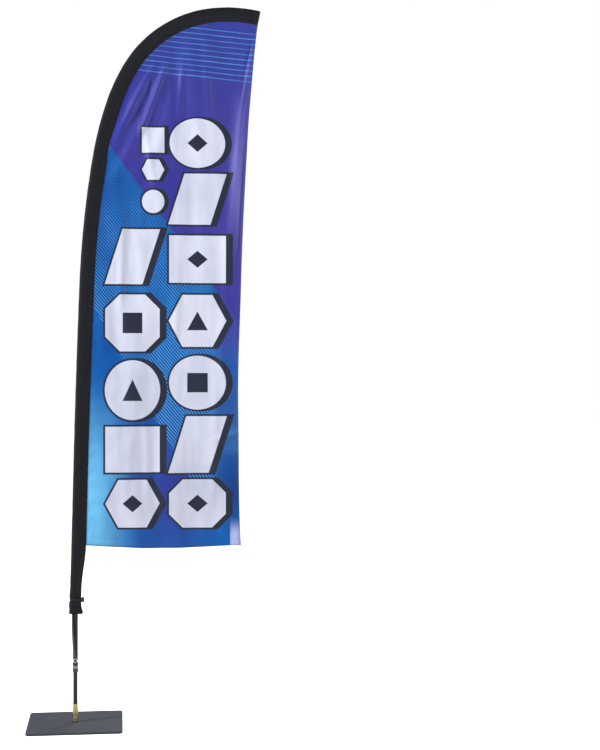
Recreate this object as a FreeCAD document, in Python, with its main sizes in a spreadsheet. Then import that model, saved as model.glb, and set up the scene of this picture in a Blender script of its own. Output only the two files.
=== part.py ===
import FreeCAD, Part
import math
import os
import Sketcher

V = FreeCAD.Vector
os.makedirs("parts", exist_ok=True)
doc = FreeCAD.newDocument("feather_flag")

# ---------------------------------------------------------------- driving dimensions (mm)
# Frame: origin on the floor under the middle of the base plate, +Z up, +X towards the free
# edge of the flag, the flag hangs in the XZ plane.
DIMS = [
    ("pad_side", 388.0), ("pad_thick", 2.0),
    ("plate_side", 400.0), ("plate_thick", 8.0), ("plate_corner", 16.0), ("plate_chamfer", 0.8),
    ("bolt_dia", 10.0), ("bolt_head_dia", 19.6), ("bolt_length", 20.0), ("bolt_hole", 10.2),
    ("foot_dia", 24.0), ("foot_height", 5.0),
    ("stem_dia", 16.0), ("stem_top", 51.0), ("axle_dia", 10.0), ("axle_top", 80.8),
    ("shoulder_dia", 12.0), ("bearing_od", 19.0), ("bearing_width", 5.0),
    ("bearing_low", 54.0), ("bearing_high", 76.0), ("inner_race_od", 11.6),
    ("outer_race_id", 17.4), ("ball_dia", 2.8), ("ball_count", 10.0),
    ("housing_dia", 22.4), ("housing_flare", 26.0), ("housing_bottom", 50.0),
    ("housing_top", 88.0), ("housing_cavity", 86.0), ("plug_dia", 15.9), ("plug_top", 118.0),
    ("rotor_tube_od", 19.0), ("rotor_tube_id", 16.0), ("rotor_tube_top", 400.0),
    ("rivet_dia", 4.0), ("rivet_height", 103.0),
    ("collar_od", 25.0), ("collar_bottom", 222.0), ("collar_height", 16.0),
    ("pole_gap", 0.4),
    ("pole_low_od", 22.0), ("pole_low_id", 19.2), ("pole_mid_od", 16.0), ("pole_mid_id", 13.0),
    ("pole_top_od", 9.0), ("pole_tip_od", 6.0),
    ("ferrule_low_od", 19.1), ("ferrule_top_od", 12.9),
    ("end_ferrule_od", 23.8), ("end_ferrule_len", 12.0),
    ("sleeve_round", 12.3), ("sleeve_wall", 0.8), ("sleeve_flat", 28.0), ("sleeve_width", 60.0),
    ("sleeve_seam", 8.0), ("sleeve_edge", 2.0), ("sleeve_bottom", 474.0), ("tail_width", 46.0),
    ("tail_top", 575.0),
    ("panel_thick", 1.2), ("panel_bottom", 763.0),
    ("strap_width", 12.0), ("strap_thick", 1.6), ("cord_dia", 3.0), ("cord_height", 531.0),
    ("lock_dia", 13.6), ("lock_height", 17.0), ("button_dia", 10.0), ("button_travel", 3.0),
    ("tip_length", 7.0),
    ("bow_start_x", -28.257), ("bow_start_z", 239.476), ("bow_lean", 1.34536),
    ("bow_straight", 765.397),
    ("bow_rad_a", 52995.8), ("bow_turn_a", 0.94121),
    ("bow_rad_b", 4396.3), ("bow_turn_b", 7.17861),
    ("bow_rad_c", 1530.1), ("bow_turn_c", 9.13603),
    ("bow_rad_d", 837.7), ("bow_turn_d", 12.69941),
    ("bow_rad_e", 514.8), ("bow_turn_e", 51.55631),
    ("bow_rad_f", 626.5), ("bow_turn_f", 18.23761),
    ("heel_rad", 7000.0),
]
D = dict(DIMS)
sheet = doc.addObject("Spreadsheet::Sheet", "dims")
for i, (alias, value) in enumerate(DIMS):
    sheet.set("A%d" % (i + 1), alias)
    sheet.set("B%d" % (i + 1), str(value))
    sheet.setAlias("B%d" % (i + 1), alias)
doc.recompute()


def q(value, expr=None):
    return (value, expr)


def dim(alias, k=1.0, plus=0.0):
    """A length taken from the sheet, scaled and shifted, with the expression that says so."""
    text = "dims.%s" % alias
    if k != 1.0:
        text = "%s * %.6f" % (text, k)
    if plus:
        text = "%s + (%.6f)" % (text, plus)
    return (D[alias] * k + plus, text)


def half(alias, plus=0.0):
    return dim(alias, 0.5, plus)


NODES = []


def body(label):
    b = doc.addObject("PartDesign::Body", label)
    b.Label = label
    NODES.append(b)
    return b


def plane(b, role):
    for o in b.Origin.OriginFeatures:
        if o.Role == role:
            return o
    raise RuntimeError(role)


def sketch(b, name, role="XZ_Plane", offset=None):
    s = b.newObject("Sketcher::SketchObject", name)
    s.AttachmentSupport = [(plane(b, role), "")]
    s.MapMode = "FlatFace"
    if offset is not None:
        s.AttachmentOffset = offset
    return s


def bind_point(s, geo, pos, u, w):
    for kind, item in (("DistanceX", u), ("DistanceY", w)):
        value, expr = item if isinstance(item, tuple) else (item, None)
        n = s.addConstraint(Sketcher.Constraint(kind, -1, 1, geo, pos, value))
        if expr:
            s.setExpression("Constraints[%d]" % n, expr)


def polygon(s, points):
    """Closed outline, every corner tied to the origin by its own two distances."""
    flat = [tuple(c[0] if isinstance(c, tuple) else c for c in p) for p in points]
    first = s.GeometryCount
    n = len(points)
    for i in range(n):
        a, c = flat[i], flat[(i + 1) % n]
        s.addGeometry(Part.LineSegment(V(a[0], a[1], 0), V(c[0], c[1], 0)), False)
    for i in range(n):
        s.addConstraint(Sketcher.Constraint("Coincident", first + i, 2, first + (i + 1) % n, 1))
    for i, p in enumerate(points):
        bind_point(s, first + i, 1, p[0], p[1])


def circle(s, x, y, r):
    value, expr = r if isinstance(r, tuple) else (r, None)
    px = x[0] if isinstance(x, tuple) else x
    py = y[0] if isinstance(y, tuple) else y
    g = s.addGeometry(Part.Circle(V(px, py, 0), V(0, 0, 1), value), False)
    n = s.addConstraint(Sketcher.Constraint("Radius", g, value))
    if expr:
        s.setExpression("Constraints[%d]" % n, expr)
    if px == 0 and py == 0:
        s.addConstraint(Sketcher.Constraint("Coincident", g, 3, -1, 1))
    else:
        bind_point(s, g, 3, x, y)
    return g


def pad(b, s, length, name="Pad", reverse=False):
    value, expr = length if isinstance(length, tuple) else (length, None)
    p = b.newObject("PartDesign::Pad", name)
    p.Profile = s
    p.Length = value
    p.Reversed = reverse
    if expr:
        p.setExpression("Length", expr)
    s.Visibility = False
    b.Tip = p
    doc.recompute()
    return p


def pocket(b, s, length, name="Pocket", reverse=False):
    """Cut that must take material away, whichever side of the sketch it lies on."""
    value, expr = length if isinstance(length, tuple) else (length, None)
    before = b.Shape.Volume
    p = b.newObject("PartDesign::Pocket", name)
    p.Profile = s
    p.Length = value
    p.Reversed = reverse
    if expr:
        p.setExpression("Length", expr)
    b.Tip = p
    doc.recompute()
    if not b.Shape.Volume < before - 1e-3:
        p.Reversed = not reverse
        doc.recompute()
    assert b.Shape.Volume < before - 1e-3, b.Label + " " + name
    return p


def turned(label, points, name="Turned"):
    """Body of revolution about Z from a half outline of (radius, height) corners."""
    b = body(label)
    s = sketch(b, label + "_outline")
    polygon(s, points)
    r = b.newObject("PartDesign::Revolution", name)
    r.Profile = s
    r.ReferenceAxis = (s, ["V_Axis"])
    r.Angle = 360
    b.Tip = r
    doc.recompute()
    return b


def rings(label, levels, inner, outer, height):
    """One node made of equal rings at several heights."""
    b = body(label)
    for i, level in enumerate(levels):
        s = sketch(b, "%s_ring%d" % (label, i), "XY_Plane",
                   FreeCAD.Placement(V(0, 0, level[0]), FreeCAD.Rotation()))
        s.setExpression(".AttachmentOffset.Base.z", level[1])
        circle(s, 0, 0, inner)
        circle(s, 0, 0, outer)
        p = b.newObject("PartDesign::Pad", "Ring%d" % i)
        p.Profile = s
        p.Length = height[0]
        p.setExpression("Length", height[1])
        try:
            p.AllowMultiFace = True
        except Exception:
            pass
        b.Tip = p
    doc.recompute()
    return b


def solid_feature(label, shape, placement=None):
    f = doc.addObject("Part::Feature", label)
    f.Label = label
    f.Shape = shape
    f.Placement = placement or FreeCAD.Placement()
    NODES.append(f)
    return f


# ---------------------------------------------------------------- the bow (outer edge of the sleeve)
class Chain(object):
    """Straight runs and clockwise arcs in the XZ plane, each tangent to the next."""

    def __init__(self, x, z, lean):
        self.x, self.z, self.a = x, z, lean
        self.parts = []
        self.length = 0.0

    def line(self, length):
        x, z, a = self.x, self.z, self.a
        self.parts.append(("L", x, z, a, length, length, 0.0))
        self.x, self.z = x + math.sin(a) * length, z + math.cos(a) * length
        self.length += length
        return self

    def arc(self, radius, turn):
        x, z, a = self.x, self.z, self.a
        ox, oz = x + math.cos(a) * radius, z - math.sin(a) * radius
        self.parts.append(("A", x, z, a, radius * turn, radius, turn, ox, oz))
        self.a = a + turn
        self.x, self.z = ox - math.cos(self.a) * radius, oz + math.sin(self.a) * radius
        self.length += radius * turn
        return self

    def cut(self, s0, s1):
        """The same curve between two arc lengths."""
        out, run = None, 0.0
        for p in self.parts:
            lo, hi = max(s0, run), min(s1, run + p[4])
            if hi - lo > 1e-6:
                if p[0] == "L":
                    x, z, a = p[1] + math.sin(p[3]) * (lo - run), p[2] + math.cos(p[3]) * (lo - run), p[3]
                    if out is None:
                        out = Chain(x, z, a)
                    out.line(hi - lo)
                else:
                    r, a = p[5], p[3] + (lo - run) / p[5]
                    x, z = p[7] - math.cos(a) * r, p[8] + math.sin(a) * r
                    if out is None:
                        out = Chain(x, z, a)
                    out.arc(r, (hi - lo) / r)
            run += p[4]
        return out

    def offset(self, n):
        """Parallel curve n to the right of this one."""
        out = Chain(self.parts[0][1] + math.cos(self.parts[0][3]) * n,
                    self.parts[0][2] - math.sin(self.parts[0][3]) * n, self.parts[0][3])
        for p in self.parts:
            if p[0] == "L":
                out.line(p[4])
            else:
                out.arc(p[5] - n, p[6])
        return out

    def at(self, s):
        run = 0.0
        for p in self.parts:
            if s <= run + p[4] + 1e-9 or p is self.parts[-1]:
                d = s - run
                if p[0] == "L":
                    return p[1] + math.sin(p[3]) * d, p[2] + math.cos(p[3]) * d, p[3]
                a = p[3] + d / p[5]
                return p[7] - math.cos(a) * p[5], p[8] + math.sin(a) * p[5], a
            run += p[4]

    def geometry(self):
        out = []
        for p in self.parts:
            if p[0] == "L":
                out.append(Part.LineSegment(V(p[1], p[2], 0), V(p[1] + math.sin(p[3]) * p[4],
                                                              p[2] + math.cos(p[3]) * p[4], 0)))
            else:
                c = Part.Circle(V(p[7], p[8], 0), V(0, 0, 1), p[5])
                a0 = math.pi - p[3] - p[6]
                out.append(Part.ArcOfCircle(c, a0, a0 + p[6]))
        return out

    def put(self, s):
        """Draws the curve in a sketch, radii held by constraints."""
        for i, g in enumerate(self.geometry()):
            k = s.addGeometry(g, False)
            s.addConstraint(Sketcher.Constraint("Block", k))


def bow():
    c = Chain(D["bow_start_x"], D["bow_start_z"], math.radians(D["bow_lean"]))
    c.line(D["bow_straight"])
    for k in "abcdef":
        c.arc(D["bow_rad_" + k], math.radians(D["bow_turn_" + k]))
    return c


OUTER = bow()
LEAN = math.radians(D["bow_lean"])
S_BOTTOM = (D["sleeve_bottom"] - D["bow_start_z"]) / math.cos(LEAN)
S_PANEL = (D["panel_bottom"] - D["bow_start_z"]) / math.cos(LEAN)

# Pole centreline: upright over the spindle, eased into the line that lies sleeve_round inside
# the sleeve's outer edge, and parallel to that edge from there on.
shift = OUTER.offset(D["sleeve_round"])
T = D["heel_rad"] * math.tan(LEAN / 2.0)
x0, z0, a0 = shift.at(0.0)
z_cross = z0 - x0 / math.tan(LEAN)
POLE_BOTTOM = D["collar_bottom"] + D["collar_height"] + D["pole_gap"]
CENTRE = Chain(0.0, POLE_BOTTOM, 0.0)
CENTRE.line(z_cross - T - POLE_BOTTOM)
CENTRE.arc(D["heel_rad"], LEAN)
x1, z1, a1 = shift.at(D["bow_straight"])
CENTRE.line((z1 - CENTRE.z) / math.cos(LEAN))
for p in shift.parts[1:]:
    CENTRE.arc(p[5], p[6])
POLE_LENGTH = CENTRE.length


def at_path(chain, s=0.0):
    x, z, a = chain.at(s)
    return FreeCAD.Placement(V(x, 0, z), FreeCAD.Rotation(V(0, 1, 0), math.degrees(a)))


def swept(label, chain, draw, end=None):
    """A body swept along a curve in the XZ plane from a profile square to its start."""
    b = body(label)
    path = sketch(b, label + "_path")
    chain.put(path)
    prof = sketch(b, label + "_profile", "XY_Plane", at_path(chain))
    draw(prof)
    sections = []
    if end is not None:
        last = sketch(b, label + "_end", "XY_Plane", at_path(chain, chain.length))
        end(last)
        sections = [last]
    doc.recompute()
    p = b.newObject("PartDesign::AdditivePipe", "Sweep")
    p.Profile = prof
    p.Spine = (path, ["Edge%d" % (i + 1) for i in range(len(chain.parts))])
    p.Mode = "Binormal"
    p.Binormal = V(0, 1, 0)
    if sections:
        p.Transformation = "Multisection"
        p.Sections = [(sections[0], "")]
    b.Tip = p
    doc.recompute()
    return b


def tube_profile(outer, inner=None):
    def draw(s):
        circle(s, 0, 0, outer)
        if inner is not None:
            circle(s, 0, 0, inner)
    return draw


# ================================================================ base (stays on the floor)
Z_PLATE = D["pad_thick"]
Z_TOP = D["pad_thick"] + D["plate_thick"]


def square(b, name, side, z, corner, height):
    s = sketch(b, name, "XY_Plane", FreeCAD.Placement(V(0, 0, z), FreeCAD.Rotation()))
    k = D[side] / 2.0
    pts = [(dim(side, -0.5), dim(side, -0.5)), (dim(side, 0.5), dim(side, -0.5)),
           (dim(side, 0.5), dim(side, 0.5)), (dim(side, -0.5), dim(side, 0.5))]
    polygon(s, pts)
    p = pad(b, s, height, "Slab")
    edges = []
    for i, e in enumerate(p.Shape.Edges):
        a, c = e.Vertexes[0].Point, e.Vertexes[-1].Point
        if abs(a.z - c.z) > 1 and abs(a.x - c.x) < 1e-6 and abs(a.y - c.y) < 1e-6:
            edges.append("Edge%d" % (i + 1))
    f = b.newObject("PartDesign::Fillet", "Corners")
    f.Base = (p, edges)
    f.Radius = corner[0]
    f.setExpression("Radius", corner[1])
    b.Tip = f
    doc.recompute()
    return f


b = body("base_pad")
square(b, "base_pad_outline", "pad_side", 0.0, dim("plate_corner", 1.0, -4.0), dim("pad_thick"))

b = body("base_plate")
f = square(b, "base_plate_outline", "plate_side", Z_PLATE, dim("plate_corner"), dim("plate_thick"))
edges = []
for i, e in enumerate(f.Shape.Edges):
    bb = e.BoundBox
    if bb.ZMax - bb.ZMin < 1e-6:
        edges.append("Edge%d" % (i + 1))
ch = b.newObject("PartDesign::Chamfer", "Rims")
ch.Base = (f, edges)
ch.Size = D["plate_chamfer"]
ch.setExpression("Size", "dims.plate_chamfer")
b.Tip = ch
doc.recompute()
s = sketch(b, "bolt_seat")
polygon(s, [(0.0, Z_PLATE - 1.0), (half("bolt_head_dia", 1.2), Z_PLATE - 1.0),
            (half("bolt_head_dia", 0.2), dim("pad_thick")),
            (half("bolt_hole"), dim("pad_thick", 1.0, 4.9)),
            (half("bolt_hole"), Z_TOP + 1.0), (0.0, Z_TOP + 1.0)])
g = b.newObject("PartDesign::Groove", "BoltSeat")
g.Profile = s
g.ReferenceAxis = (s, ["V_Axis"])
g.Angle = 360
before = b.Shape.Volume
b.Tip = g
doc.recompute()
assert b.Shape.Volume < before - 100

b = turned("plate_bolt", [
    (0.0, dim("pad_thick", 1.0, 0.1)), (half("bolt_head_dia"), dim("pad_thick", 1.0, 0.1)),
    (half("bolt_dia"), dim("pad_thick", 1.0, 4.9)),
    (half("bolt_dia"), dim("bolt_length", 1.0, Z_TOP - 1.0)),
    (half("bolt_dia", -1.0), dim("bolt_length", 1.0, Z_TOP)), (0.0, dim("bolt_length", 1.0, Z_TOP))])
s = sketch(b, "bolt_socket", "XY_Plane", FreeCAD.Placement(V(0, 0, Z_PLATE + 0.1), FreeCAD.Rotation()))
polygon(s, [(3.46 * math.cos(math.radians(60 * i)), 3.46 * math.sin(math.radians(60 * i)))
            for i in range(6)])
pocket(b, s, 3.5, "Socket", True)

turned("foot_collar", [
    (half("stem_dia", 0.1), Z_TOP), (half("foot_dia"), Z_TOP),
    (half("foot_dia"), dim("foot_height", 1.0, Z_TOP - 1.0)),
    (half("foot_dia", -1.0), dim("foot_height", 1.0, Z_TOP)),
    (half("stem_dia", 0.1), dim("foot_height", 1.0, Z_TOP))])

turned("spindle", [
    (half("bolt_dia", 0.05), Z_TOP), (half("stem_dia", -0.6), Z_TOP),
    (half("stem_dia"), Z_TOP + 0.6), (half("stem_dia"), dim("stem_top", 1.0, -1.8)),
    (half("stem_dia", -1.0), dim("stem_top", 1.0, -0.8)),
    (half("shoulder_dia"), dim("stem_top", 1.0, -0.8)), (half("shoulder_dia"), dim("bearing_low")),
    (half("axle_dia"), dim("bearing_low")), (half("axle_dia"), dim("axle_top", 1.0, -0.6)),
    (half("axle_dia", -0.6), dim("axle_top")), (2.55, dim("axle_top")), (2.55, 64.0),
    (0.0, 63.0), (0.0, dim("bolt_length", 1.0, Z_TOP + 4.0)),
    (half("bolt_dia", 0.05), dim("bolt_length", 1.0, Z_TOP + 1.5))])

W = D["bearing_width"]
LOW, HIGH = D["bearing_low"], D["bearing_high"]


def ring_pair(label, r_in, r_out, crown):
    """The lower race is turned; the upper one is its copy, a bearing spacing higher."""
    low = doc.addObject("Part::Cylinder", label + "_low_outer")
    shapes = []
    for tag, z in (("low", "bearing_low"), ("high", "bearing_high")):
        o = low if tag == "low" else doc.addObject("Part::Cylinder", label + "_high_outer")
        i = doc.addObject("Part::Cylinder", label + "_" + tag + "_bore")
        for c, r in ((o, r_out), (i, r_in)):
            c.Radius = r[0]
            c.setExpression("Radius", r[1])
            c.setExpression("Height", "dims.bearing_width")
            c.setExpression("Placement.Base.z", "dims." + z)
        k = doc.addObject("Part::Cut", label + "_" + tag)
        k.Base, k.Tool = o, i
        shapes.append(k)
    u = doc.addObject("Part::Compound", label)
    u.Links = shapes
    u.Label = label
    NODES.append(u)
    doc.recompute()
    return u


ring_pair("bearing_inner_races", half("axle_dia"), half("inner_race_od"), 0)

PITCH = D["inner_race_od"] / 2 + D["ball_dia"] / 2
balls = []
for z, zn in ((LOW, "bearing_low"), (HIGH, "bearing_high")):
    for i in range(int(D["ball_count"])):
        o = doc.addObject("Part::Sphere", "ball_%s_%d" % (zn[-4:].strip("_"), i))
        o.setExpression("Radius", "dims.ball_dia / 2")
        a = 2 * math.pi * i / D["ball_count"]
        o.Placement = FreeCAD.Placement(V(PITCH * math.cos(a), PITCH * math.sin(a), z + W / 2),
                                        FreeCAD.Rotation())
        o.setExpression("Placement.Base.z", "dims.%s + dims.bearing_width / 2" % zn)
        balls.append(o)
u = doc.addObject("Part::Compound", "bearing_balls")
u.Links = balls
u.Label = "bearing_balls"
NODES.append(u)

turned("bearing_spacer", [
    (half("axle_dia"), dim("bearing_low", 1.0, W)), (half("shoulder_dia"), dim("bearing_low", 1.0, W)),
    (half("shoulder_dia"), dim("bearing_high")), (half("axle_dia"), dim("bearing_high"))])

turned("retaining_washer", [
    (2.65, dim("bearing_high", 1.0, W)), (6.4, dim("bearing_high", 1.0, W)),
    (6.4, dim("bearing_high", 1.0, W + 1.0)), (2.65, dim("bearing_high", 1.0, W + 1.0))])

b = turned("retaining_screw", [
    (0.0, 67.0), (2.0, 67.0), (2.5, 67.5), (2.5, dim("bearing_high", 1.0, W + 1.0)),
    (4.6, dim("bearing_high", 1.0, W + 1.0)), (4.6, dim("bearing_high", 1.0, W + 2.6)),
    (3.6, dim("bearing_high", 1.0, W + 3.6)), (0.0, dim("bearing_high", 1.0, W + 3.6))])
s = sketch(b, "screw_slot", "XY_Plane", FreeCAD.Placement(V(0, 0, HIGH + W + 3.6), FreeCAD.Rotation()))
polygon(s, [(2.0 * math.cos(math.radians(60 * i)), 2.0 * math.sin(math.radians(60 * i)))
            for i in range(6)])
pocket(b, s, 1.6, "Socket")

# ================================================================ rotor (turns on the bearings)
b = turned("rotor_housing", [
    (half("stem_dia", 0.35), dim("housing_bottom")), (half("housing_flare", -0.6), dim("housing_bottom")),
    (half("housing_flare"), dim("housing_bottom", 1.0, 0.8)),
    (half("housing_flare"), dim("housing_bottom", 1.0, 4.6)),
    (half("housing_dia"), dim("housing_bottom", 1.0, 7.0)),
    (half("housing_dia"), dim("housing_top", 1.0, -0.8)), (half("housing_dia", -0.8), dim("housing_top")),
    (half("plug_dia"), dim("housing_top")), (half("plug_dia"), dim("plug_top", 1.0, -1.0)),
    (half("plug_dia", -1.0), dim("plug_top")), (0.0, dim("plug_top")),
    (0.0, dim("housing_cavity")), (8.6, dim("housing_cavity")),
    (8.6, dim("bearing_high", 1.0, W)), (half("bearing_od"), dim("bearing_high", 1.0, W)),
    (half("bearing_od"), dim("bearing_low", 1.0, -0.1)), (10.3, dim("bearing_low", 1.0, -0.1)),
    (10.3, dim("bearing_low", 1.0, -1.4)), (half("bearing_od"), dim("bearing_low", 1.0, -1.4)),
    (half("bearing_od"), dim("housing_bottom", 1.0, 2.0)),
    (half("stem_dia", 0.35), dim("housing_bottom", 1.0, 2.0))])
# the housing opens downwards wide enough to press the bearings in
s = sketch(b, "mouth", "XY_Plane", FreeCAD.Placement(V(0, 0, D["housing_bottom"]), FreeCAD.Rotation()))
circle(s, 0, 0, half("bearing_od"))
pocket(b, s, 2.2, "Mouth", True)
s = sketch(b, "rivet_way", "YZ_Plane", FreeCAD.Placement(V(0, 0, -20), FreeCAD.Rotation()))
circle(s, 0.0, dim("rivet_height"), half("rivet_dia"))
pocket(b, s, 40.0, "RivetWay", True)

ring_pair("bearing_outer_races", half("outer_race_id"), half("bearing_od"), 0)

b = turned("bearing_circlip", [
    (8.7, dim("bearing_low", 1.0, -1.3)), (10.2, dim("bearing_low", 1.0, -1.3)),
    (10.2, dim("bearing_low", 1.0, -0.2)), (8.7, dim("bearing_low", 1.0, -0.2))])
s = sketch(b, "clip_gap", "XY_Plane", FreeCAD.Placement(V(0, 0, LOW - 2), FreeCAD.Rotation()))
polygon(s, [(-1.6, -12.0), (1.6, -12.0), (1.6, -6.0), (-1.6, -6.0)])
pocket(b, s, 4.0, "Gap", True)

b = turned("rotor_tube", [
    (half("rotor_tube_id"), dim("housing_top")), (half("rotor_tube_od"), dim("housing_top")),
    (half("rotor_tube_od"), dim("rotor_tube_top")), (half("rotor_tube_id"), dim("rotor_tube_top"))])
s = sketch(b, "rivet_holes", "YZ_Plane", FreeCAD.Placement(V(0, 0, -20), FreeCAD.Rotation()))
circle(s, 0.0, dim("rivet_height"), half("rivet_dia"))
pocket(b, s, 40.0, "RivetHoles", True)

rivet = turned("tube_rivet", [
    (0.0, half("rotor_tube_od", -0.0)[0] * -1), (half("rivet_dia"), -D["rotor_tube_od"] / 2),
    (half("rivet_dia"), half("rotor_tube_od")), (0.0, half("rotor_tube_od"))])
rivet.Placement = FreeCAD.Placement(V(0, 0, D["rivet_height"]), FreeCAD.Rotation(V(0, 1, 0), 90))

turned("tube_cap", [
    (0.0, dim("rotor_tube_top", 1.0, -14.0)), (half("rotor_tube_id", -0.6), dim("rotor_tube_top", 1.0, -14.0)),
    (half("rotor_tube_id", -0.05), dim("rotor_tube_top", 1.0, -12.5)),
    (half("rotor_tube_id", -0.05), dim("rotor_tube_top")), (half("rotor_tube_od", -0.1), dim("rotor_tube_top")),
    (half("rotor_tube_od", -0.1), dim("rotor_tube_top", 1.0, 1.5)),
    (half("rotor_tube_od", -2.0), dim("rotor_tube_top", 1.0, 3.2)), (0.0, dim("rotor_tube_top", 1.0, 3.2))])

b = turned("stop_collar", [
    (half("rotor_tube_od", 0.02), dim("collar_bottom")), (half("collar_od", -0.8), dim("collar_bottom")),
    (half("collar_od"), dim("collar_bottom", 1.0, 0.8)),
    (half("collar_od"), dim("collar_bottom", 1.0, D["collar_height"] - 0.8)),
    (half("collar_od", -0.8), dim("collar_bottom", 1.0, D["collar_height"])),
    (half("rotor_tube_od", 0.02), dim("collar_bottom", 1.0, D["collar_height"]))])
s = sketch(b, "grub_hole", "YZ_Plane", FreeCAD.Placement(V(0, 0, 5), FreeCAD.Rotation()))
circle(s, 0.0, dim("collar_bottom", 1.0, 8.0), 2.0)
pocket(b, s, 10.0, "GrubHole", True)

b = turned("collar_screw", [
    (0.0, 9.6), (1.95, 9.6), (1.95, 12.3), (1.2, 12.3), (1.2, 11.2), (0.0, 11.2)])
b.Placement = FreeCAD.Placement(V(0, 0, D["collar_bottom"] + 8.0), FreeCAD.Rotation(V(0, 1, 0), 90))

# ================================================================ pole with its flag
J1, J2 = 1150.0, 2250.0
turned("pole_end_ferrule", [
    (half("pole_low_od", 0.02), POLE_BOTTOM), (half("end_ferrule_od", -0.3), POLE_BOTTOM),
    (half("end_ferrule_od"), POLE_BOTTOM + 0.4),
    (half("end_ferrule_od"), dim("end_ferrule_len", 1.0, POLE_BOTTOM - 0.5)),
    (half("end_ferrule_od", -0.4), dim("end_ferrule_len", 1.0, POLE_BOTTOM)),
    (half("pole_low_od", 0.02), dim("end_ferrule_len", 1.0, POLE_BOTTOM))])
swept("pole_lower", CENTRE.cut(0.0, J1), tube_profile(half("pole_low_od"), half("pole_low_id")))
swept("ferrule_lower", CENTRE.cut(J1 - 70.0, J1 + 60.0),
      tube_profile(half("ferrule_low_od"), half("pole_mid_od", 0.02)))
swept("pole_middle", CENTRE.cut(J1 - 68.0, J2), tube_profile(half("pole_mid_od"), half("pole_mid_id")))
swept("ferrule_upper", CENTRE.cut(J2 - 60.0, J2 + 50.0),
      tube_profile(half("ferrule_top_od"), half("pole_top_od", 0.05)))
S_TIP = POLE_LENGTH - 6.0
swept("pole_upper", CENTRE.cut(J2 - 58.0, S_TIP - 6.0), tube_profile(half("pole_top_od")),
      tube_profile(half("pole_tip_od")))
tip = turned("tip_cap", [
    (0.0, -6.0), (half("pole_tip_od", 1.6), -6.0), (half("pole_tip_od", 1.6), 2.0),
    (half("pole_tip_od", 0.4), 4.6), (0.0, 5.2)])
s = sketch(tip, "tip_socket", "XY_Plane", FreeCAD.Placement(V(0, 0, -6.0), FreeCAD.Rotation()))
circle(s, 0, 0, half("pole_tip_od", 0.12))
pocket(tip, s, 6.0, "Socket", True)
tip.Placement = at_path(CENTRE, S_TIP - 6.0)


# --- sleeve: a band folded round the pole and sewn flat where it meets the panel
def teardrop(s, grow=0.0, hollow=True, width=None):
    """Section square to the bow. Sketch x runs inwards from the outer edge, y across."""
    w = width or D["sleeve_width"]
    lobe(s, D["sleeve_round"] + grow, w, D["sleeve_edge"] / 2 + grow)
    if hollow:
        cavity(s, w)


def cavity(s, width):
    lobe(s, D["sleeve_round"] - D["sleeve_wall"], width - D["sleeve_seam"], 0.35)


def lobe(s, r, tail, he):
    R, N = D["sleeve_round"], D["sleeve_flat"]
    g = s.GeometryCount
    arc = Part.ArcOfCircle(Part.Circle(V(R, 0, 0), V(0, 0, 1), r), math.pi / 2, 3 * math.pi / 2)
    s.addGeometry(arc, False)
    pts = [V(R, -r, 0), V(N, -r, 0), V(tail, -he, 0), V(tail, he, 0), V(N, r, 0), V(R, r, 0)]
    for a, c in zip(pts[:-1], pts[1:]):
        s.addGeometry(Part.LineSegment(a, c), False)
    for k in range(g, s.GeometryCount):
        s.addConstraint(Sketcher.Constraint("Block", k))


SLEEVE = OUTER.cut(S_PANEL, OUTER.length)
b = swept("pole_sleeve", SLEEVE, teardrop)
S_TAIL = (D["tail_top"] - D["bow_start_z"]) / math.cos(LEAN)
lofts = []
for tag, hollow in (("wall", False), ("space", True)):
    one = sketch(b, "tail_%s_top" % tag, "XY_Plane", at_path(OUTER, S_PANEL))
    two = sketch(b, "tail_%s_low" % tag, "XY_Plane", at_path(OUTER, S_TAIL))
    if hollow:
        cavity(one, D["sleeve_width"])
        cavity(two, D["tail_width"])
        kind = "PartDesign::SubtractiveLoft"
    else:
        teardrop(one, 0.0, False)
        teardrop(two, 0.0, False, D["tail_width"])
        kind = "PartDesign::AdditiveLoft"
    lo = b.newObject(kind, "Tail_" + tag)
    lo.Profile = one
    lo.Sections = [(two, "")]
    lo.Ruled = True
    b.Tip = lo
    doc.recompute()
    if tag == "wall":
        s = sketch(b, "end_wall", "XY_Plane", at_path(OUTER, S_TAIL))
        teardrop(s, 0.0, False, D["tail_width"])
        p = pad(b, s, S_TAIL - S_BOTTOM, "End", True)
    else:
        s = sketch(b, "end_space", "XY_Plane", at_path(OUTER, S_TAIL))
        cavity(s, D["tail_width"])
        pocket(b, s, S_TAIL - S_BOTTOM + 1.0, "EndSpace", False)

b = body("tip_pocket")
s = sketch(b, "tip_outline", "XY_Plane", at_path(OUTER, OUTER.length))
teardrop(s, 0.0, False)
pad(b, s, dim("tip_length"), "Cap")

CUFF = OUTER.cut(S_BOTTOM, S_BOTTOM + 12.0)
b = body("sleeve_cuff")
s = sketch(b, "cuff_outline", "XY_Plane", at_path(CUFF))
teardrop(s, 1.0, False, D["tail_width"] + 1.0)
pad(b, s, 12.0, "Band")
s = sketch(b, "cuff_inside", "XY_Plane", at_path(CUFF))
teardrop(s, 0.0, False, D["tail_width"])
pocket(b, s, 12.0, "Inside", True)

# --- panel: flat sheet of printed cloth between the sleeve, the free edge and the lower edge
b = body("flag_panel")
s = sketch(b, "panel_outline", "XZ_Plane",
           FreeCAD.Placement(V(0, 0, -D["panel_thick"] / 2), FreeCAD.Rotation()))
inner = OUTER.offset(D["sleeve_width"])
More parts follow.
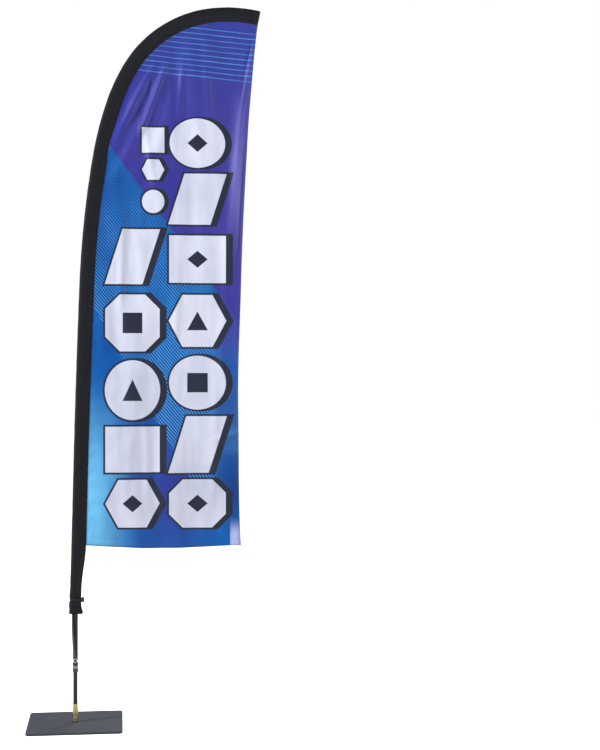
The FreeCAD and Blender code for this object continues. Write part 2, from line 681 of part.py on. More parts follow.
# the seam starts where the offset line meets the lower edge
edge = inner.cut(S_PANEL + 0.0, inner.length)
ex, ez, ea = edge.at(edge.length)
tipx, tipz = ex + math.sin(ea) * D["tip_length"], ez + math.cos(ea) * D["tip_length"]
sx, sz, sa = edge.at(0.0)
fly = [(tipx, tipz), (775.0, 2960.0), (764.0, 2852.0), (753.0, 2722.0), (742.5, 2592.0), (734.5, 2462.0),
       (727.0, 2332.0), (720.5, 2202.0), (714.5, 2072.0), (709.5, 1943.0), (705.5, 1813.0),
       (701.0, 1683.0), (697.0, 1554.0), (695.0, 1420.0), (696.0, 1290.0), (698.0, 1130.0),
       (699.5, 971.0), (703.0, 841.0), (708.0, 756.0)]
foot = [(708.0, 756.0), (640.0, 753.5), (560.0, 749.5), (466.0, 746.0), (363.0, 746.0), (260.0, 748.5),
        (158.0, 754.0), (sx, sz)]
edge.put(s)
closing = [Part.LineSegment(V(ex, ez, 0), V(tipx, tipz, 0))]
for pts in (fly, foot):
    c = Part.BSplineCurve()
    c.interpolate([V(p[0], p[1], 0) for p in pts])
    closing.append(c)
for g in closing:
    k = s.addGeometry(g, False)
    s.addConstraint(Sketcher.Constraint("Block", k))
pad(b, s, dim("panel_thick"), "Cloth")

# --- tension strap from the sleeve's lower end to the buckle by the pole's foot
strap = [(-11.9, 256.0), (-12.1, 300.0), (-13.2, 345.0), (-15.6, 395.0), (-16.2, 430.0), (-15.2, 474.0),
         (-16.0, 500.0)]


def ribbon(s, pts, thick):
    left, right = [], []
    for i, (x, z) in enumerate(pts):
        a, c = pts[max(i - 1, 0)], pts[min(i + 1, len(pts) - 1)]
        dx, dz = c[0] - a[0], c[1] - a[1]
        n = math.hypot(dx, dz)
        left.append(V(x - dz / n * thick, z + dx / n * thick, 0))
        right.append(V(x, z, 0))
    first, second = Part.BSplineCurve(), Part.BSplineCurve()
    first.interpolate(right)
    second.interpolate(left)
    for g in (first, Part.LineSegment(right[-1], left[-1]), second, Part.LineSegment(left[0], right[0])):
        k = s.addGeometry(g, False)
        s.addConstraint(Sketcher.Constraint("Block", k))


b = body("tension_strap")
s = sketch(b, "strap_side", "XZ_Plane", FreeCAD.Placement(V(0, 0, -D["strap_width"] / 2), FreeCAD.Rotation()))
ribbon(s, strap, D["strap_thick"])
pad(b, s, dim("strap_width"), "Web")

turned("strap_band", [
    (half("pole_low_od", 0.02), 252.0), (half("pole_low_od", 0.8), 252.0), (half("pole_low_od", 0.8), 264.0),
    (half("pole_low_od", 0.02), 264.0)])

# buckle: square wire ring lying against the front of the pole, with its bar
b = body("strap_buckle")
s = sketch(b, "buckle_frame", "XZ_Plane", FreeCAD.Placement(V(0, 0, 11.9), FreeCAD.Rotation()))
polygon(s, [(-8.0, 265.5), (8.0, 265.5), (8.0, 280.5), (-8.0, 280.5)])
polygon(s, [(-5.8, 267.7), (5.8, 267.7), (5.8, 272.0), (-5.8, 272.0)])
polygon(s, [(-5.8, 274.0), (5.8, 274.0), (5.8, 278.3), (-5.8, 278.3)])
pad(b, s, 2.2, "Frame")

# --- drawcord round the sleeve's lower end, and its spring lock
ZC = D["cord_height"]
sc = (ZC - D["bow_start_z"]) / math.cos(LEAN)
cx, cz, ca = OUTER.at(sc)
LX = cx + D["tail_width"] + D["lock_dia"] / 2 + 0.4
r_c = D["sleeve_round"] + D["cord_dia"] / 2 + 0.1


def arc_between(a, corner, c, r):
    """Tangent arc of radius r in the corner a-corner-c, as (start, middle, end)."""
    u, v = (a - corner).normalize(), (c - corner).normalize()
    ang = math.acos(max(-1.0, min(1.0, u.dot(v))))
    d = r / math.tan(ang / 2)
    m = (u + v).normalize()
    centre = corner + m * (r / math.sin(ang / 2))
    return corner + u * d, centre - m * r, corner + v * d


R0, N0 = cx + D["sleeve_round"], cx + D["sleeve_flat"]
corners = [V(R0, -r_c, ZC), V(LX, -r_c, ZC), V(LX, r_c, ZC), V(R0, r_c, ZC)]
edges = [Part.Arc(corners[3], V(R0 - r_c, 0, ZC), corners[0]).toShape()]
prev = corners[0]
for i in (1, 2):
    a, m, c = arc_between(corners[i - 1], corners[i], corners[i + 1], 4.5)
    edges.append(Part.LineSegment(prev, a).toShape())
    edges.append(Part.Arc(a, m, c).toShape())
    prev = c
edges.append(Part.LineSegment(prev, corners[3]).toShape())
loop = Part.Wire(Part.__sortEdges__(edges))
start = Part.Wire([Part.Circle(corners[0], V(1, 0, 0), D["cord_dia"] / 2).toShape()])
cord = loop.makePipeShell([start], True, False)
solid_feature("drawcord", cord if cord.ShapeType == "Solid" else Part.Solid(cord))

# the lock: a barrel the cord runs through crosswise, with a sprung button on top
LB = ZC - 10.5
b = body("cord_lock_body")
s = sketch(b, "lock_outline", "XY_Plane", FreeCAD.Placement(V(LX, 0, LB), FreeCAD.Rotation()))
circle(s, 0, 0, half("lock_dia"))
pad(b, s, dim("lock_height"), "Barrel")
s = sketch(b, "lock_bore", "XY_Plane", FreeCAD.Placement(V(LX, 0, LB + 1.6), FreeCAD.Rotation()))
circle(s, 0, 0, half("button_dia", 0.1))
pocket(b, s, 30.0, "Bore", True)
s = sketch(b, "lock_way", "XZ_Plane", FreeCAD.Placement(V(0, 0, -20), FreeCAD.Rotation()))
circle(s, LX, ZC, half("cord_dia", 0.4))
pocket(b, s, 40.0, "CordWay", True)
b = body("cord_lock_button")
s = sketch(b, "button_outline", "XY_Plane", FreeCAD.Placement(V(LX, 0, ZC - 2.3), FreeCAD.Rotation()))
circle(s, 0, 0, half("button_dia"))
pad(b, s, 13.0, "Plunger")
s = sketch(b, "button_way", "XZ_Plane", FreeCAD.Placement(V(0, 0, -20), FreeCAD.Rotation()))
polygon(s, [(LX - 2.0, ZC - 1.9 + 0.1), (LX + 2.0, ZC - 1.9 + 0.1), (LX + 2.0, ZC + 5.2), (LX - 2.0, ZC + 5.2)])
pocket(b, s, 40.0, "CordSlot", True)

# spring: a wire coil between the barrel's floor and the button
b = body("cord_lock_spring")
s = sketch(b, "wire_section", "XZ_Plane")
circle(s, 3.0, 0.0, 0.35)
hx = b.newObject("PartDesign::AdditiveHelix", "Coil")
hx.Profile = s
hx.ReferenceAxis = (s, ["V_Axis"])
hx.Mode = 0
hx.Pitch = 1.35
hx.Height = ZC - 2.3 - (LB + 1.6) - 0.9
b.Tip = hx
b.Placement = FreeCAD.Placement(V(LX, 0, LB + 1.6 + 0.45), FreeCAD.Rotation())

doc.recompute()

# ================================================================ checks and files
for o in doc.Objects:
    state = " ".join(o.State)
    assert "Invalid" not in state and "Error" not in state, (o.Name, o.State)
for o in NODES:
    assert not o.Shape.isNull() and o.Shape.isValid(), o.Label
    assert o.Shape.Solids, o.Label
    o.Shape.exportStep("parts/%s.step" % o.Label)
    bb = o.Shape.BoundBox
    print("%-22s vol %10.0f  x %.1f..%.1f y %.1f..%.1f z %.1f..%.1f solids %d" % (
        o.Label, o.Shape.Volume, bb.XMin, bb.XMax, bb.YMin, bb.YMax, bb.ZMin, bb.ZMax, len(o.Shape.Solids)))
print("pole length %.1f sleeve length %.1f" % (POLE_LENGTH, SLEEVE.length))
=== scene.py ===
import bpy
import bmesh
import math
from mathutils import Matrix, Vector, noise


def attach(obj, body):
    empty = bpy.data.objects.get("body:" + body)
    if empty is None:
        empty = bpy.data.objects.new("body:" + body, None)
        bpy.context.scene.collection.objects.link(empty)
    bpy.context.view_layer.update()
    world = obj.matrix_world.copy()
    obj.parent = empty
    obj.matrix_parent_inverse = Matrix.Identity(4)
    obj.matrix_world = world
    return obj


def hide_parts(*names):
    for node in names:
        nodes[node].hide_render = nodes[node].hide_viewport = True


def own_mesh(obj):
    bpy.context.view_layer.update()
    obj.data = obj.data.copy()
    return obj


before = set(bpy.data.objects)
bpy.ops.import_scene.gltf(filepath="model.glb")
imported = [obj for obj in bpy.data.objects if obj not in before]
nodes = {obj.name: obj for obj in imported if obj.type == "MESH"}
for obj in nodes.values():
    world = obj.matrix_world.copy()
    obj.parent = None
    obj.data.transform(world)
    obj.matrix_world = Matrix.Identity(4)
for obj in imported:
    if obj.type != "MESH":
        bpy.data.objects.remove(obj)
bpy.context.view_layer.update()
scene = bpy.context.scene
MM = 0.001


def smooth(a, b, x):
    t = min(1.0, max(0.0, (x - a) / (b - a)))
    return t * t * (3 - 2 * t)


def bump(x, centre, width):
    return math.exp(-((x - centre) / width) ** 2)


# ---------------------------------------------------------------- node helpers
class Tree(object):
    """Short names for building a shader out of maths nodes."""

    def __init__(self, name):
        self.mat = bpy.data.materials.new(name)
        self.mat.use_nodes = True
        self.t = self.mat.node_tree
        self.t.nodes.clear()
        self.out = self.t.nodes.new("ShaderNodeOutputMaterial")
        self.bsdf = self.t.nodes.new("ShaderNodeBsdfPrincipled")
        self.t.links.new(self.bsdf.outputs[0], self.out.inputs[0])

    def put(self, socket, value):
        if isinstance(value, bpy.types.NodeSocket):
            self.t.links.new(value, socket)
        elif value is not None:
            socket.default_value = value

    def m(self, op, a, b=None, c=None, clamp=False):
        n = self.t.nodes.new("ShaderNodeMath")
        n.operation = op
        n.use_clamp = clamp
        for i, v in enumerate((a, b, c)):
            if v is not None:
                self.put(n.inputs[i], v)
        return n.outputs[0]

    def add(self, a, b): return self.m("ADD", a, b)
    def sub(self, a, b): return self.m("SUBTRACT", a, b)
    def mul(self, a, b): return self.m("MULTIPLY", a, b)
    def mx(self, a, b): return self.m("MAXIMUM", a, b)
    def mn(self, a, b): return self.m("MINIMUM", a, b)
    def ab(self, a): return self.m("ABSOLUTE", a)

    def step(self, value, lo, hi):
        """0 at lo, 1 at hi, clamped and smooth."""
        n = self.t.nodes.new("ShaderNodeMapRange")
        n.interpolation_type = "SMOOTHSTEP"
        self.put(n.inputs[0], value)
        n.inputs[1].default_value, n.inputs[2].default_value = lo, hi
        n.inputs[3].default_value, n.inputs[4].default_value = 0.0, 1.0
        return n.outputs[0]

    def lin(self, value, a0, a1, b0, b1):
        n = self.t.nodes.new("ShaderNodeMapRange")
        self.put(n.inputs[0], value)
        for i, v in enumerate((a0, a1, b0, b1)):
            n.inputs[i + 1].default_value = v
        return n.outputs[0]

    def mix(self, f, a, b):
        n = self.t.nodes.new("ShaderNodeMix")
        n.data_type = "RGBA"
        self.put(n.inputs[0], f)
        self.put(n.inputs[6], a if isinstance(a, bpy.types.NodeSocket) else (*a, 1.0))
        self.put(n.inputs[7], b if isinstance(b, bpy.types.NodeSocket) else (*b, 1.0))
        return n.outputs[2]

    def coord(self, kind="Object"):
        n = self.t.nodes.new("ShaderNodeTexCoord")
        return n.outputs[kind]

    def uv(self, name):
        n = self.t.nodes.new("ShaderNodeUVMap")
        n.uv_map = name
        return n.outputs[0]

    def split(self, v):
        n = self.t.nodes.new("ShaderNodeSeparateXYZ")
        self.put(n.inputs[0], v)
        return n.outputs[0], n.outputs[1], n.outputs[2]

    def join(self, x, y, z):
        n = self.t.nodes.new("ShaderNodeCombineXYZ")
        for i, v in enumerate((x, y, z)):
            self.put(n.inputs[i], v)
        return n.outputs[0]

    def noise(self, v, scale, detail=2.0, rough=0.5):
        n = self.t.nodes.new("ShaderNodeTexNoise")
        self.put(n.inputs["Vector"], v)
        n.inputs["Scale"].default_value = scale
        n.inputs["Detail"].default_value = detail
        n.inputs["Roughness"].default_value = rough
        return n.outputs[0]

    def scaled(self, v, s):
        n = self.t.nodes.new("ShaderNodeVectorMath")
        n.operation = "MULTIPLY"
        self.put(n.inputs[0], v)
        n.inputs[1].default_value = s
        return n.outputs[0]

    def bump(self, height, strength, distance, normal=None):
        n = self.t.nodes.new("ShaderNodeBump")
        n.inputs["Strength"].default_value = strength
        n.inputs["Distance"].default_value = distance
        self.put(n.inputs["Height"], height)
        if normal is not None:
            self.put(n.inputs["Normal"], normal)
        return n.outputs[0]

    def set(self, **kw):
        for k, v in kw.items():
            k = k.replace("_", " ")
            if k == "Base Color" and not isinstance(v, bpy.types.NodeSocket):
                v = (*v, 1.0)
            self.put(self.bsdf.inputs[k], v)
        return self


def srgb(r, g, b):
    def f(c):
        c /= 255.0
        return c / 12.92 if c <= 0.04045 else ((c + 0.055) / 1.055) ** 2.4
    return (f(r), f(g), f(b))


# ---------------------------------------------------------------- materials
def metal(name, colour, rough, scratch=0.0, dirt=0.15, grain=(1, 1, 1), metallic=1.0):
    t = Tree(name)
    co = t.coord()
    n1 = t.noise(co, 60.0, 5.0, 0.6)
    n2 = t.noise(t.scaled(co, grain), 900.0, 3.0, 0.55)
    col = t.mix(t.lin(n1, 0.35, 0.7, 0.0, 1.0), colour, tuple(c * (1 - dirt) for c in colour))
    r = t.add(t.lin(n1, 0.3, 0.7, rough - 0.06, rough + 0.08), t.lin(n2, 0.3, 0.7, -0.03, 0.05))
    t.set(Base_Color=col, Metallic=metallic, Roughness=r, Normal=t.bump(n2, 0.25 + scratch, 0.00005))
    return t.mat


def zinc(name):
    """Yellow passivated zinc: brassy, slightly iridescent and cloudy."""
    t = Tree(name)
    co = t.coord()
    n1 = t.noise(co, 90.0, 4.0, 0.6)
    n2 = t.noise(t.scaled(co, (1, 1, 30)), 300.0, 3.0, 0.5)
    a = t.mix(t.lin(n1, 0.35, 0.65, 0, 1), srgb(184, 170, 112), srgb(146, 132, 80))
    b = t.mix(t.lin(n2, 0.45, 0.75, 0, 0.6), a, srgb(112, 118, 92))
    t.set(Base_Color=b, Metallic=0.75, Roughness=t.lin(n2, 0.3, 0.7, 0.28, 0.42),
          Normal=t.bump(n2, 0.3, 0.00006))
    return t.mat


def powder_coat(name):
    """Fine leather-like powder coat on the floor plate, scuffed a little along the rim."""
    t = Tree(name)
    co = t.coord()
    x, y, z = t.split(co)
    fine = t.noise(co, 1400.0, 3.0, 0.6)
    big = t.noise(co, 9.0, 4.0, 0.55)
    edge = t.mx(t.ab(x), t.ab(y))
    rim = t.mul(t.step(edge, 0.1986, 0.1997), t.step(t.noise(co, 420.0, 5.0, 0.65), 0.56, 0.70))
    dust = t.step(t.noise(co, 420.0, 2.0, 0.7), 0.66, 0.74)
    c = t.mix(t.lin(big, 0.3, 0.7, 0, 1), srgb(54, 56, 64), srgb(61, 64, 73))
    c = t.mix(t.mul(dust, 0.15), c, srgb(105, 108, 112))
    c = t.mix(t.mul(rim, 0.4), c, srgb(110, 113, 118))
    t.set(Base_Color=c, Metallic=0.0, Roughness=t.lin(big, 0.3, 0.7, 0.46, 0.56),
          Normal=t.bump(fine, 0.45, 0.00018))
    t.bsdf.inputs["Specular IOR Level"].default_value = 0.16
    return t.mat


def plastic(name, colour, rough=0.45, grain=700.0, depth=0.00006):
    t = Tree(name)
    co = t.coord()
    n = t.noise(co, grain, 3.0, 0.6)
    w = t.noise(co, 30.0, 3.0, 0.5)
    c = t.mix(t.lin(w, 0.3, 0.7, 0, 1), colour, tuple(v * 0.8 for v in colour))
    t.set(Base_Color=c, Roughness=t.lin(w, 0.3, 0.7, rough - 0.05, rough + 0.08),
          Normal=t.bump(n, 0.35, depth))
    return t.mat


def pole_black(name, colour, rough):
    """Anodised tube with very fine drawn lines along its length and small handling marks."""
    t = Tree(name)
    co = t.coord()
    drawn = t.noise(t.scaled(co, (1.0, 1.0, 0.02)), 1500.0, 2.0, 0.5)
    marks = t.step(t.noise(t.scaled(co, (1.0, 1.0, 4.0)), 70.0, 5.0, 0.65), 0.62, 0.72)
    c = t.mix(t.mul(marks, 0.35), colour, tuple(min(1, v * 2.2 + 0.01) for v in colour))
    t.set(Base_Color=c, Metallic=0.0, Roughness=t.add(t.lin(drawn, 0.3, 0.7, rough - 0.04, rough + 0.05), t.mul(marks, 0.1)),
          Normal=t.bump(drawn, 0.25, 0.00004))
    t.bsdf.inputs["Specular IOR Level"].default_value = 0.2
    return t.mat


def weave(t, u, v, pitch, depth, normal=None):
    """Plain weave from two crossing sine ribs; u and v in metres."""
    a = t.m("SINE", t.mul(u, 2 * math.pi / pitch))
    b = t.m("SINE", t.mul(v, 2 * math.pi / pitch))
    h = t.mul(a, b)
    return t.bump(h, 0.6, depth, normal)


def black_cloth(name, colour=srgb(15, 16, 22), pitch=0.0009):
    t = Tree(name)
    u, v, _ = t.split(t.uv("flat"))
    co = t.coord()
    big = t.noise(co, 22.0, 4.0, 0.55)
    crease = t.noise(t.scaled(co, (3.0, 1.0, 0.6)), 34.0, 3.0, 0.55)
    lint = t.step(t.noise(co, 950.0, 2.0, 0.6), 0.70, 0.78)
    c = t.mix(t.lin(big, 0.3, 0.7, 0, 1), colour, tuple(k * 1.35 for k in colour))
    c = t.mix(t.mul(lint, 0.18), c, srgb(110, 112, 120))
    n = t.bump(crease, 0.5, 0.0012)
    n = weave(t, u, v, pitch, 0.00016, n)
    t.set(Base_Color=c, Roughness=t.lin(big, 0.3, 0.7, 0.62, 0.74), Normal=n)
    t.bsdf.inputs["Sheen Weight"].default_value = 0.02
    t.bsdf.inputs["Sheen Roughness"].default_value = 0.4
    t.bsdf.inputs["Specular IOR Level"].default_value = 0.14
    return t.mat


def webbing(name, colour=srgb(34, 35, 42)):
    """Woven strap: herringbone ribs along its length."""
    t = Tree(name)
    u, v, _ = t.split(t.uv("flat"))
    zig = t.m("PINGPONG", t.mul(u, 1.0), 0.003)
    h = t.m("SINE", t.mul(t.add(v, zig), 2 * math.pi / 0.0016))
    ribs = t.m("SINE", t.mul(u, 2 * math.pi / 0.0015))
    n = t.bump(t.add(h, t.mul(ribs, 0.6)), 0.8, 0.00025)
    big = t.noise(t.coord(), 60.0, 3.0, 0.5)
    # painted shade and highlight: darker in the rib grooves and lighter on the rib tops, following the weave's height
    c = t.mix(t.lin(h, -1, 1, 0, 1), tuple(k * 0.75 for k in colour), tuple(k * 1.3 for k in colour))
    t.set(Base_Color=c, Roughness=t.lin(big, 0.3, 0.7, 0.55, 0.7), Normal=n)
    t.bsdf.inputs["Sheen Weight"].default_value = 0.15
    return t.mat


# ---------------------------------------------------------------- the print on the panel
# Everything is in millimetres in the panel's own plane: x across, z up.
def print_material(name):
    t = Tree(name)
    X, _, Z = t.split(t.coord())
    x, z = t.mul(X, 1000.0), t.mul(Z, 1000.0)

    # ground colours
    blue = srgb(2, 98, 178)
    deep = srgb(0, 76, 154)
    sky = srgb(114, 200, 246)
    violet = srgb(66, 60, 150)
    indigo = srgb(48, 50, 142)
    cloud = t.noise(t.coord(), 3.2, 3.0, 0.5)
    c = t.mix(t.lin(cloud, 0.35, 0.65, 0, 1), deep, blue)
    # lighter towards the sleeve, low down
    near = t.mul(t.sub(1.0, t.step(x, 60.0, 290.0)), t.sub(1.0, t.step(z, 980.0, 1520.0)))
    c = t.mix(t.mul(near, 0.92), c, sky)
    # darker violet patch between the columns, low down
    dx, dz = t.mul(t.sub(x, 400.0), 1 / 170.0), t.mul(t.sub(z, 985.0), 1 / 270.0)
    pool = t.m("EXPONENT", t.mul(t.add(t.mul(dx, dx), t.mul(dz, dz)), -1.0))
    c = t.mix(t.mul(pool, 0.85), c, indigo)
    dx, dz = t.mul(t.sub(x, 690.0), 1 / 90.0), t.mul(t.sub(z, 1290.0), 1 / 170.0)
    pool = t.m("EXPONENT", t.mul(t.add(t.mul(dx, dx), t.mul(dz, dz)), -1.0))
    c = t.mix(t.mul(pool, 0.45), c, srgb(66, 92, 158))
    dx, dz = t.mul(t.sub(x, 690.0), 1 / 62.0), t.mul(t.sub(z, 985.0), 1 / 150.0)
    pool = t.m("EXPONENT", t.mul(t.add(t.mul(dx, dx), t.mul(dz, dz)), -1.0))
    c = t.mix(t.mul(pool, 0.75), c, srgb(6, 52, 122))
    # diagonal border to the violet upper part
    diag = t.add(z, t.mul(t.sub(x, 138.0), 1.345))         # 2477 on the border line
    c2 = t.mix(t.lin(cloud, 0.35, 0.65, 0, 1), indigo, violet)
    c2 = t.mix(t.step(z, 2450.0, 2760.0), c2, srgb(54, 58, 146))
    c2 = t.mix(t.mul(t.sub(1.0, t.step(x, 90.0, 330.0)), t.step(z, 2380.0, 2560.0)), c2, srgb(44, 52, 150))
    upper = t.step(diag, 2465.0, 2489.0)
    upper = t.mx(upper, t.mul(t.step(x, 560.0, 640.0), t.mul(t.step(z, 1440.0, 1740.0), 0.95)))
    c = t.mix(upper, c, c2)
    # fine diagonal hatching in a band under that border
    under = t.step(t.add(z, t.mul(t.sub(x, 129.0), 1.817)), 1682.0, 1694.0)
    band = t.mul(t.sub(1.0, upper), t.mul(under, t.sub(1.0, t.step(x, 560.0, 640.0))))
    fade = t.step(t.noise(t.coord(), 2.6, 2.0, 0.5), 0.26, 0.50)
    wob = t.mul(t.noise(t.coord(), 9.0, 2.0, 0.5), 7.0)
    hatch = t.m("SINE", t.mul(t.add(t.add(t.mul(x, 0.755), t.mul(z, 0.656)), wob), 2 * math.pi / 10.4))
    lines = t.step(hatch, 0.25, 0.9)
    c = t.mix(t.mul(t.mul(lines, band), t.mul(fade, t.lin(z, 1500.0, 2250.0, 0.78, 0.20))), c, srgb(98, 176, 232))
    dark = t.step(hatch, -0.1, -0.85)
    c = t.mix(t.mul(t.mul(dark, band), t.lin(z, 1600.0, 2250.0, 0.25, 0.60)), c, srgb(6, 54, 128))
    # a few hatch lines again by the free edge, low down
    patch = t.mul(t.step(x, 600.0, 640.0), t.mul(t.step(z, 1130.0, 1170.0), t.sub(1.0, t.step(z, 1240.0, 1290.0))))
    c = t.mix(t.mul(t.mul(lines, patch), 0.40), c, srgb(98, 168, 222))
    # paler strip down the free edge: painted highlight where the fold beside the edge catches the light; and a painted
    # highlight on the curled lower corner
    edge = t.sub(t.sub(x, 657.0), t.mul(t.sub(z, 1420.0), 0.034))
    e = t.mul(edge, 1 / 27.0)
    painted_highlight_strip = t.mul(t.m("EXPONENT", t.mul(t.mul(e, e), -1.0)), t.mul(t.step(z, 2040.0, 2300.0), t.lin(z, 2420.0, 2720.0, 0.50, 0.04)))
    c = t.mix(painted_highlight_strip, c, srgb(132, 128, 204))
    # painted highlight: the curled lower corner made paler, as where it turns up to the light
    curl_painted_highlight = t.mul(t.step(x, 658.0, 664.0), t.sub(1.0, t.step(z, 795.0, 880.0)))
    c = t.mix(t.mul(curl_painted_highlight, 0.72), c, srgb(188, 190, 228))
    # sweeping stripes across the top
    zz = t.add(z, t.add(t.mul(t.sub(x, 262.0), 0.098), t.mul(t.m("SINE", t.mul(x, 0.0052)), 4.0)))
    wave = t.m("SINE", t.mul(t.sub(zz, 2796.0), 2 * math.pi / 23.0))
    stripe = t.mul(t.step(wave, 0.70, 0.97), t.mul(t.step(zz, 2792.0, 2798.0), t.sub(1.0, t.step(zz, 3020.0, 3030.0))))
    wash = t.mul(t.step(zz, 2790.0, 2830.0), 0.55)
    c = t.mix(wash, c, srgb(46, 62, 148))
    some = t.lin(t.noise(t.scaled(t.coord(), (1.0, 1.0, 6.0)), 4.0, 2.0, 0.5), 0.35, 0.65, 0.35, 0.8)
    c = t.mix(t.mul(stripe, some), c, srgb(84, 148, 214))

    # shapes: (kind, cx, cz, half width, half height, hole)
    shapes = [
        ("hex", 242, 938, 116, 102, "diamond"), ("box", 242, 1170, 116, 98, "none"),
        ("disc", 242, 1424, 118, 128, "tri"), ("oct", 242, 1712, 116, 122, "box"),
        ("para", 242, 1996, 118, 118, "none"),
        ("box", 330, 2497, 48, 54, "none"), ("hex", 330, 2370, 48, 44, "none"),
        ("disc", 330, 2233, 48, 50, "none"),
        ("oct", 520, 936, 122, 104, "diamond"), ("para", 520, 1190, 126, 122, "none"),
        ("disc", 520, 1456, 122, 116, "box"), ("hex", 520, 1722, 124, 112, "tri"),
        ("box", 520, 1987, 122, 102, "diamond"), ("para", 520, 2246, 126, 110, "none"),
        ("disc", 520, 2487, 120, 106, "diamond"),
    ]

    def sdf(kind, px, pz, hx, hz):
        if kind == "box":
            return t.mx(t.sub(t.ab(px), hx), t.sub(t.ab(pz), hz))
        if kind == "para":
            qx = t.sub(px, t.mul(pz, 0.32))
            return t.mx(t.mul(t.sub(t.ab(qx), hx - 0.32 * hz), 0.95), t.sub(t.ab(pz), hz))
        if kind == "diamond":
            k = hx * hz / math.hypot(hx, hz)
            return t.mul(t.sub(t.add(t.mul(t.ab(px), 1.0 / hx), t.mul(t.ab(pz), 1.0 / hz)), 1.0), k)
        if kind == "disc":
            qz = t.mul(pz, hx / hz)
            return t.sub(t.m("SQRT", t.add(t.mul(px, px), t.mul(qz, qz))), hx)
        if kind == "hex":
            s = 0.42
            a = t.sub(t.ab(pz), hz)
            b = t.sub(t.add(t.mul(t.ab(px), 0.877), t.mul(t.ab(pz), s * 0.877 * hx / hz * 1.14)), hx * 0.877)
            return t.mx(a, b)
        if kind == "oct":
            a = t.mx(t.sub(t.ab(px), hx), t.sub(t.ab(pz), hz))
            b = t.mul(t.sub(t.add(t.ab(px), t.ab(pz)), (hx + hz) * 0.74), 0.7071)
            return t.mx(a, b)
        if kind == "tri":
            k = 1.0 / math.hypot(1.0, hx / (2.0 * hz))
            a = t.mul(t.sub(t.add(t.ab(px), t.mul(t.add(pz, hz), hx / (2.0 * hz))), hx), k)
            return t.mx(a, t.sub(t.mul(pz, -1.0), hz))

    fill, sweep = None, None
    SH = 21.0
    for kind, cx, cz, hx, hz, hole in shapes:
        small = hx < 60
        px, pz = t.sub(x, float(cx)), t.sub(z, float(cz))
        d = sdf(kind, px, pz, float(hx), float(hz))
        if hole != "none":
            k = 0.36
            hz0 = pz if kind != "tri" else t.add(pz, hz * 0.33)
            kk = k * (0.62 if kind == "tri" else 1.0)
            d = t.mx(d, t.mul(sdf(hole, px, hz0, hx * kk, hz * kk), -1.0))
        L = 11.0 if small else SH
        run = t.m("MINIMUM", t.m("MAXIMUM", px, 0.0), L)
        ds = sdf(kind, t.sub(px, run), pz, float(hx), float(hz))
        fill = d if fill is None else t.mn(fill, d)
        sweep = ds if sweep is None else t.mn(sweep, ds)
    ink = srgb(34, 39, 56)
    shade = t.mn(sweep, t.sub(fill, 6.0))
    c = t.mix(t.sub(1.0, t.step(shade, -0.6, 1.6)), c, ink)
    ring = t.sub(1.0, t.step(t.sub(sweep, 8.0), -0.8, 1.4))
    c = t.mix(ring, c, ink)
    pale = t.mix(t.lin(cloud, 0.35, 0.65, 0, 1), srgb(198, 202, 222), srgb(216, 219, 236))
    c = t.mix(t.sub(1.0, t.step(fill, -0.8, 0.8)), c, pale)

    # the print shows through to the wrong side a little paler
    _, ny, _ = t.split(t.coord("Normal"))
    c = t.mix(t.mul(t.step(ny, -0.1, 0.1), 0.13), c, srgb(196, 202, 220))

    # the cloth itself: warp-knit mesh, faint roll creases, a little sheen
    co = t.coord()
    rib = t.m("SINE", t.mul(x, 2 * math.pi / 1.1))
    rob = t.m("SINE", t.mul(z, 2 * math.pi / 0.9))
    knit = t.mul(rib, rob)
    mottle = t.noise(t.scaled(co, (1.0, 1.0, 0.5)), 240.0, 3.0, 0.6)
    c = t.mix(t.mul(t.lin(knit, -1.0, 1.0, 0.0, 1.0), 0.10), c, (0.02, 0.02, 0.03))
    soft = t.noise(t.scaled(co, (1.7, 1.0, 0.5)), 6.0, 2.0, 0.45)
    n = t.bump(soft, 0.6, 0.016)
    n = t.bump(t.add(t.mul(knit, 0.6), t.mul(mottle, 0.8)), 0.5, 0.00022, n)
    t.set(Base_Color=c, Roughness=t.lin(mottle, 0.3, 0.7, 0.40, 0.50), Normal=n)
    t.bsdf.inputs["Specular IOR Level"].default_value = 0.17
    t.bsdf.inputs["Sheen Weight"].default_value = 0.02
    t.bsdf.inputs["Sheen Roughness"].default_value = 0.35
    return t.mat


# ---------------------------------------------------------------- the bow
LEAN = math.radians(1.34536)
RUNS = [(52995.8, 0.94121), (4396.3, 7.17861), (1530.1, 9.13603), (837.7, 12.69941), (514.8, 51.55631),
        (626.5, 18.23761)]
X0, Z0, STRAIGHT = -28.257, 239.476, 765.397


def bow(s, n=0.0):
    """Point (x, z), tangent angle at distance s along the sleeve's outer edge, n inwards; all in mm."""
    x, z, a = X0, Z0, LEAN
    if s <= STRAIGHT:
        x, z = x + math.sin(a) * s, z + math.cos(a) * s
    else:
        x, z = x + math.sin(a) * STRAIGHT, z + math.cos(a) * STRAIGHT
        s -= STRAIGHT
        for i, (r, deg) in enumerate(RUNS):
            turn = math.radians(deg)
            ox, oz = x + math.cos(a) * r, z - math.sin(a) * r
            d = min(s, r * turn) if i < len(RUNS) - 1 else s
            a1 = a + d / r
            x, z = ox - math.cos(a1) * r, oz + math.sin(a1) * r
            a = a1
            s -= d
            if s <= 1e-9:
                break
    return x + math.cos(a) * n, z - math.sin(a) * n, a


S_END = STRAIGHT + sum(r * math.radians(d) for r, d in RUNS)
S_BOT = (474.0 - Z0) / math.cos(LEAN)
S_PAN = (763.0 - Z0) / math.cos(LEAN)


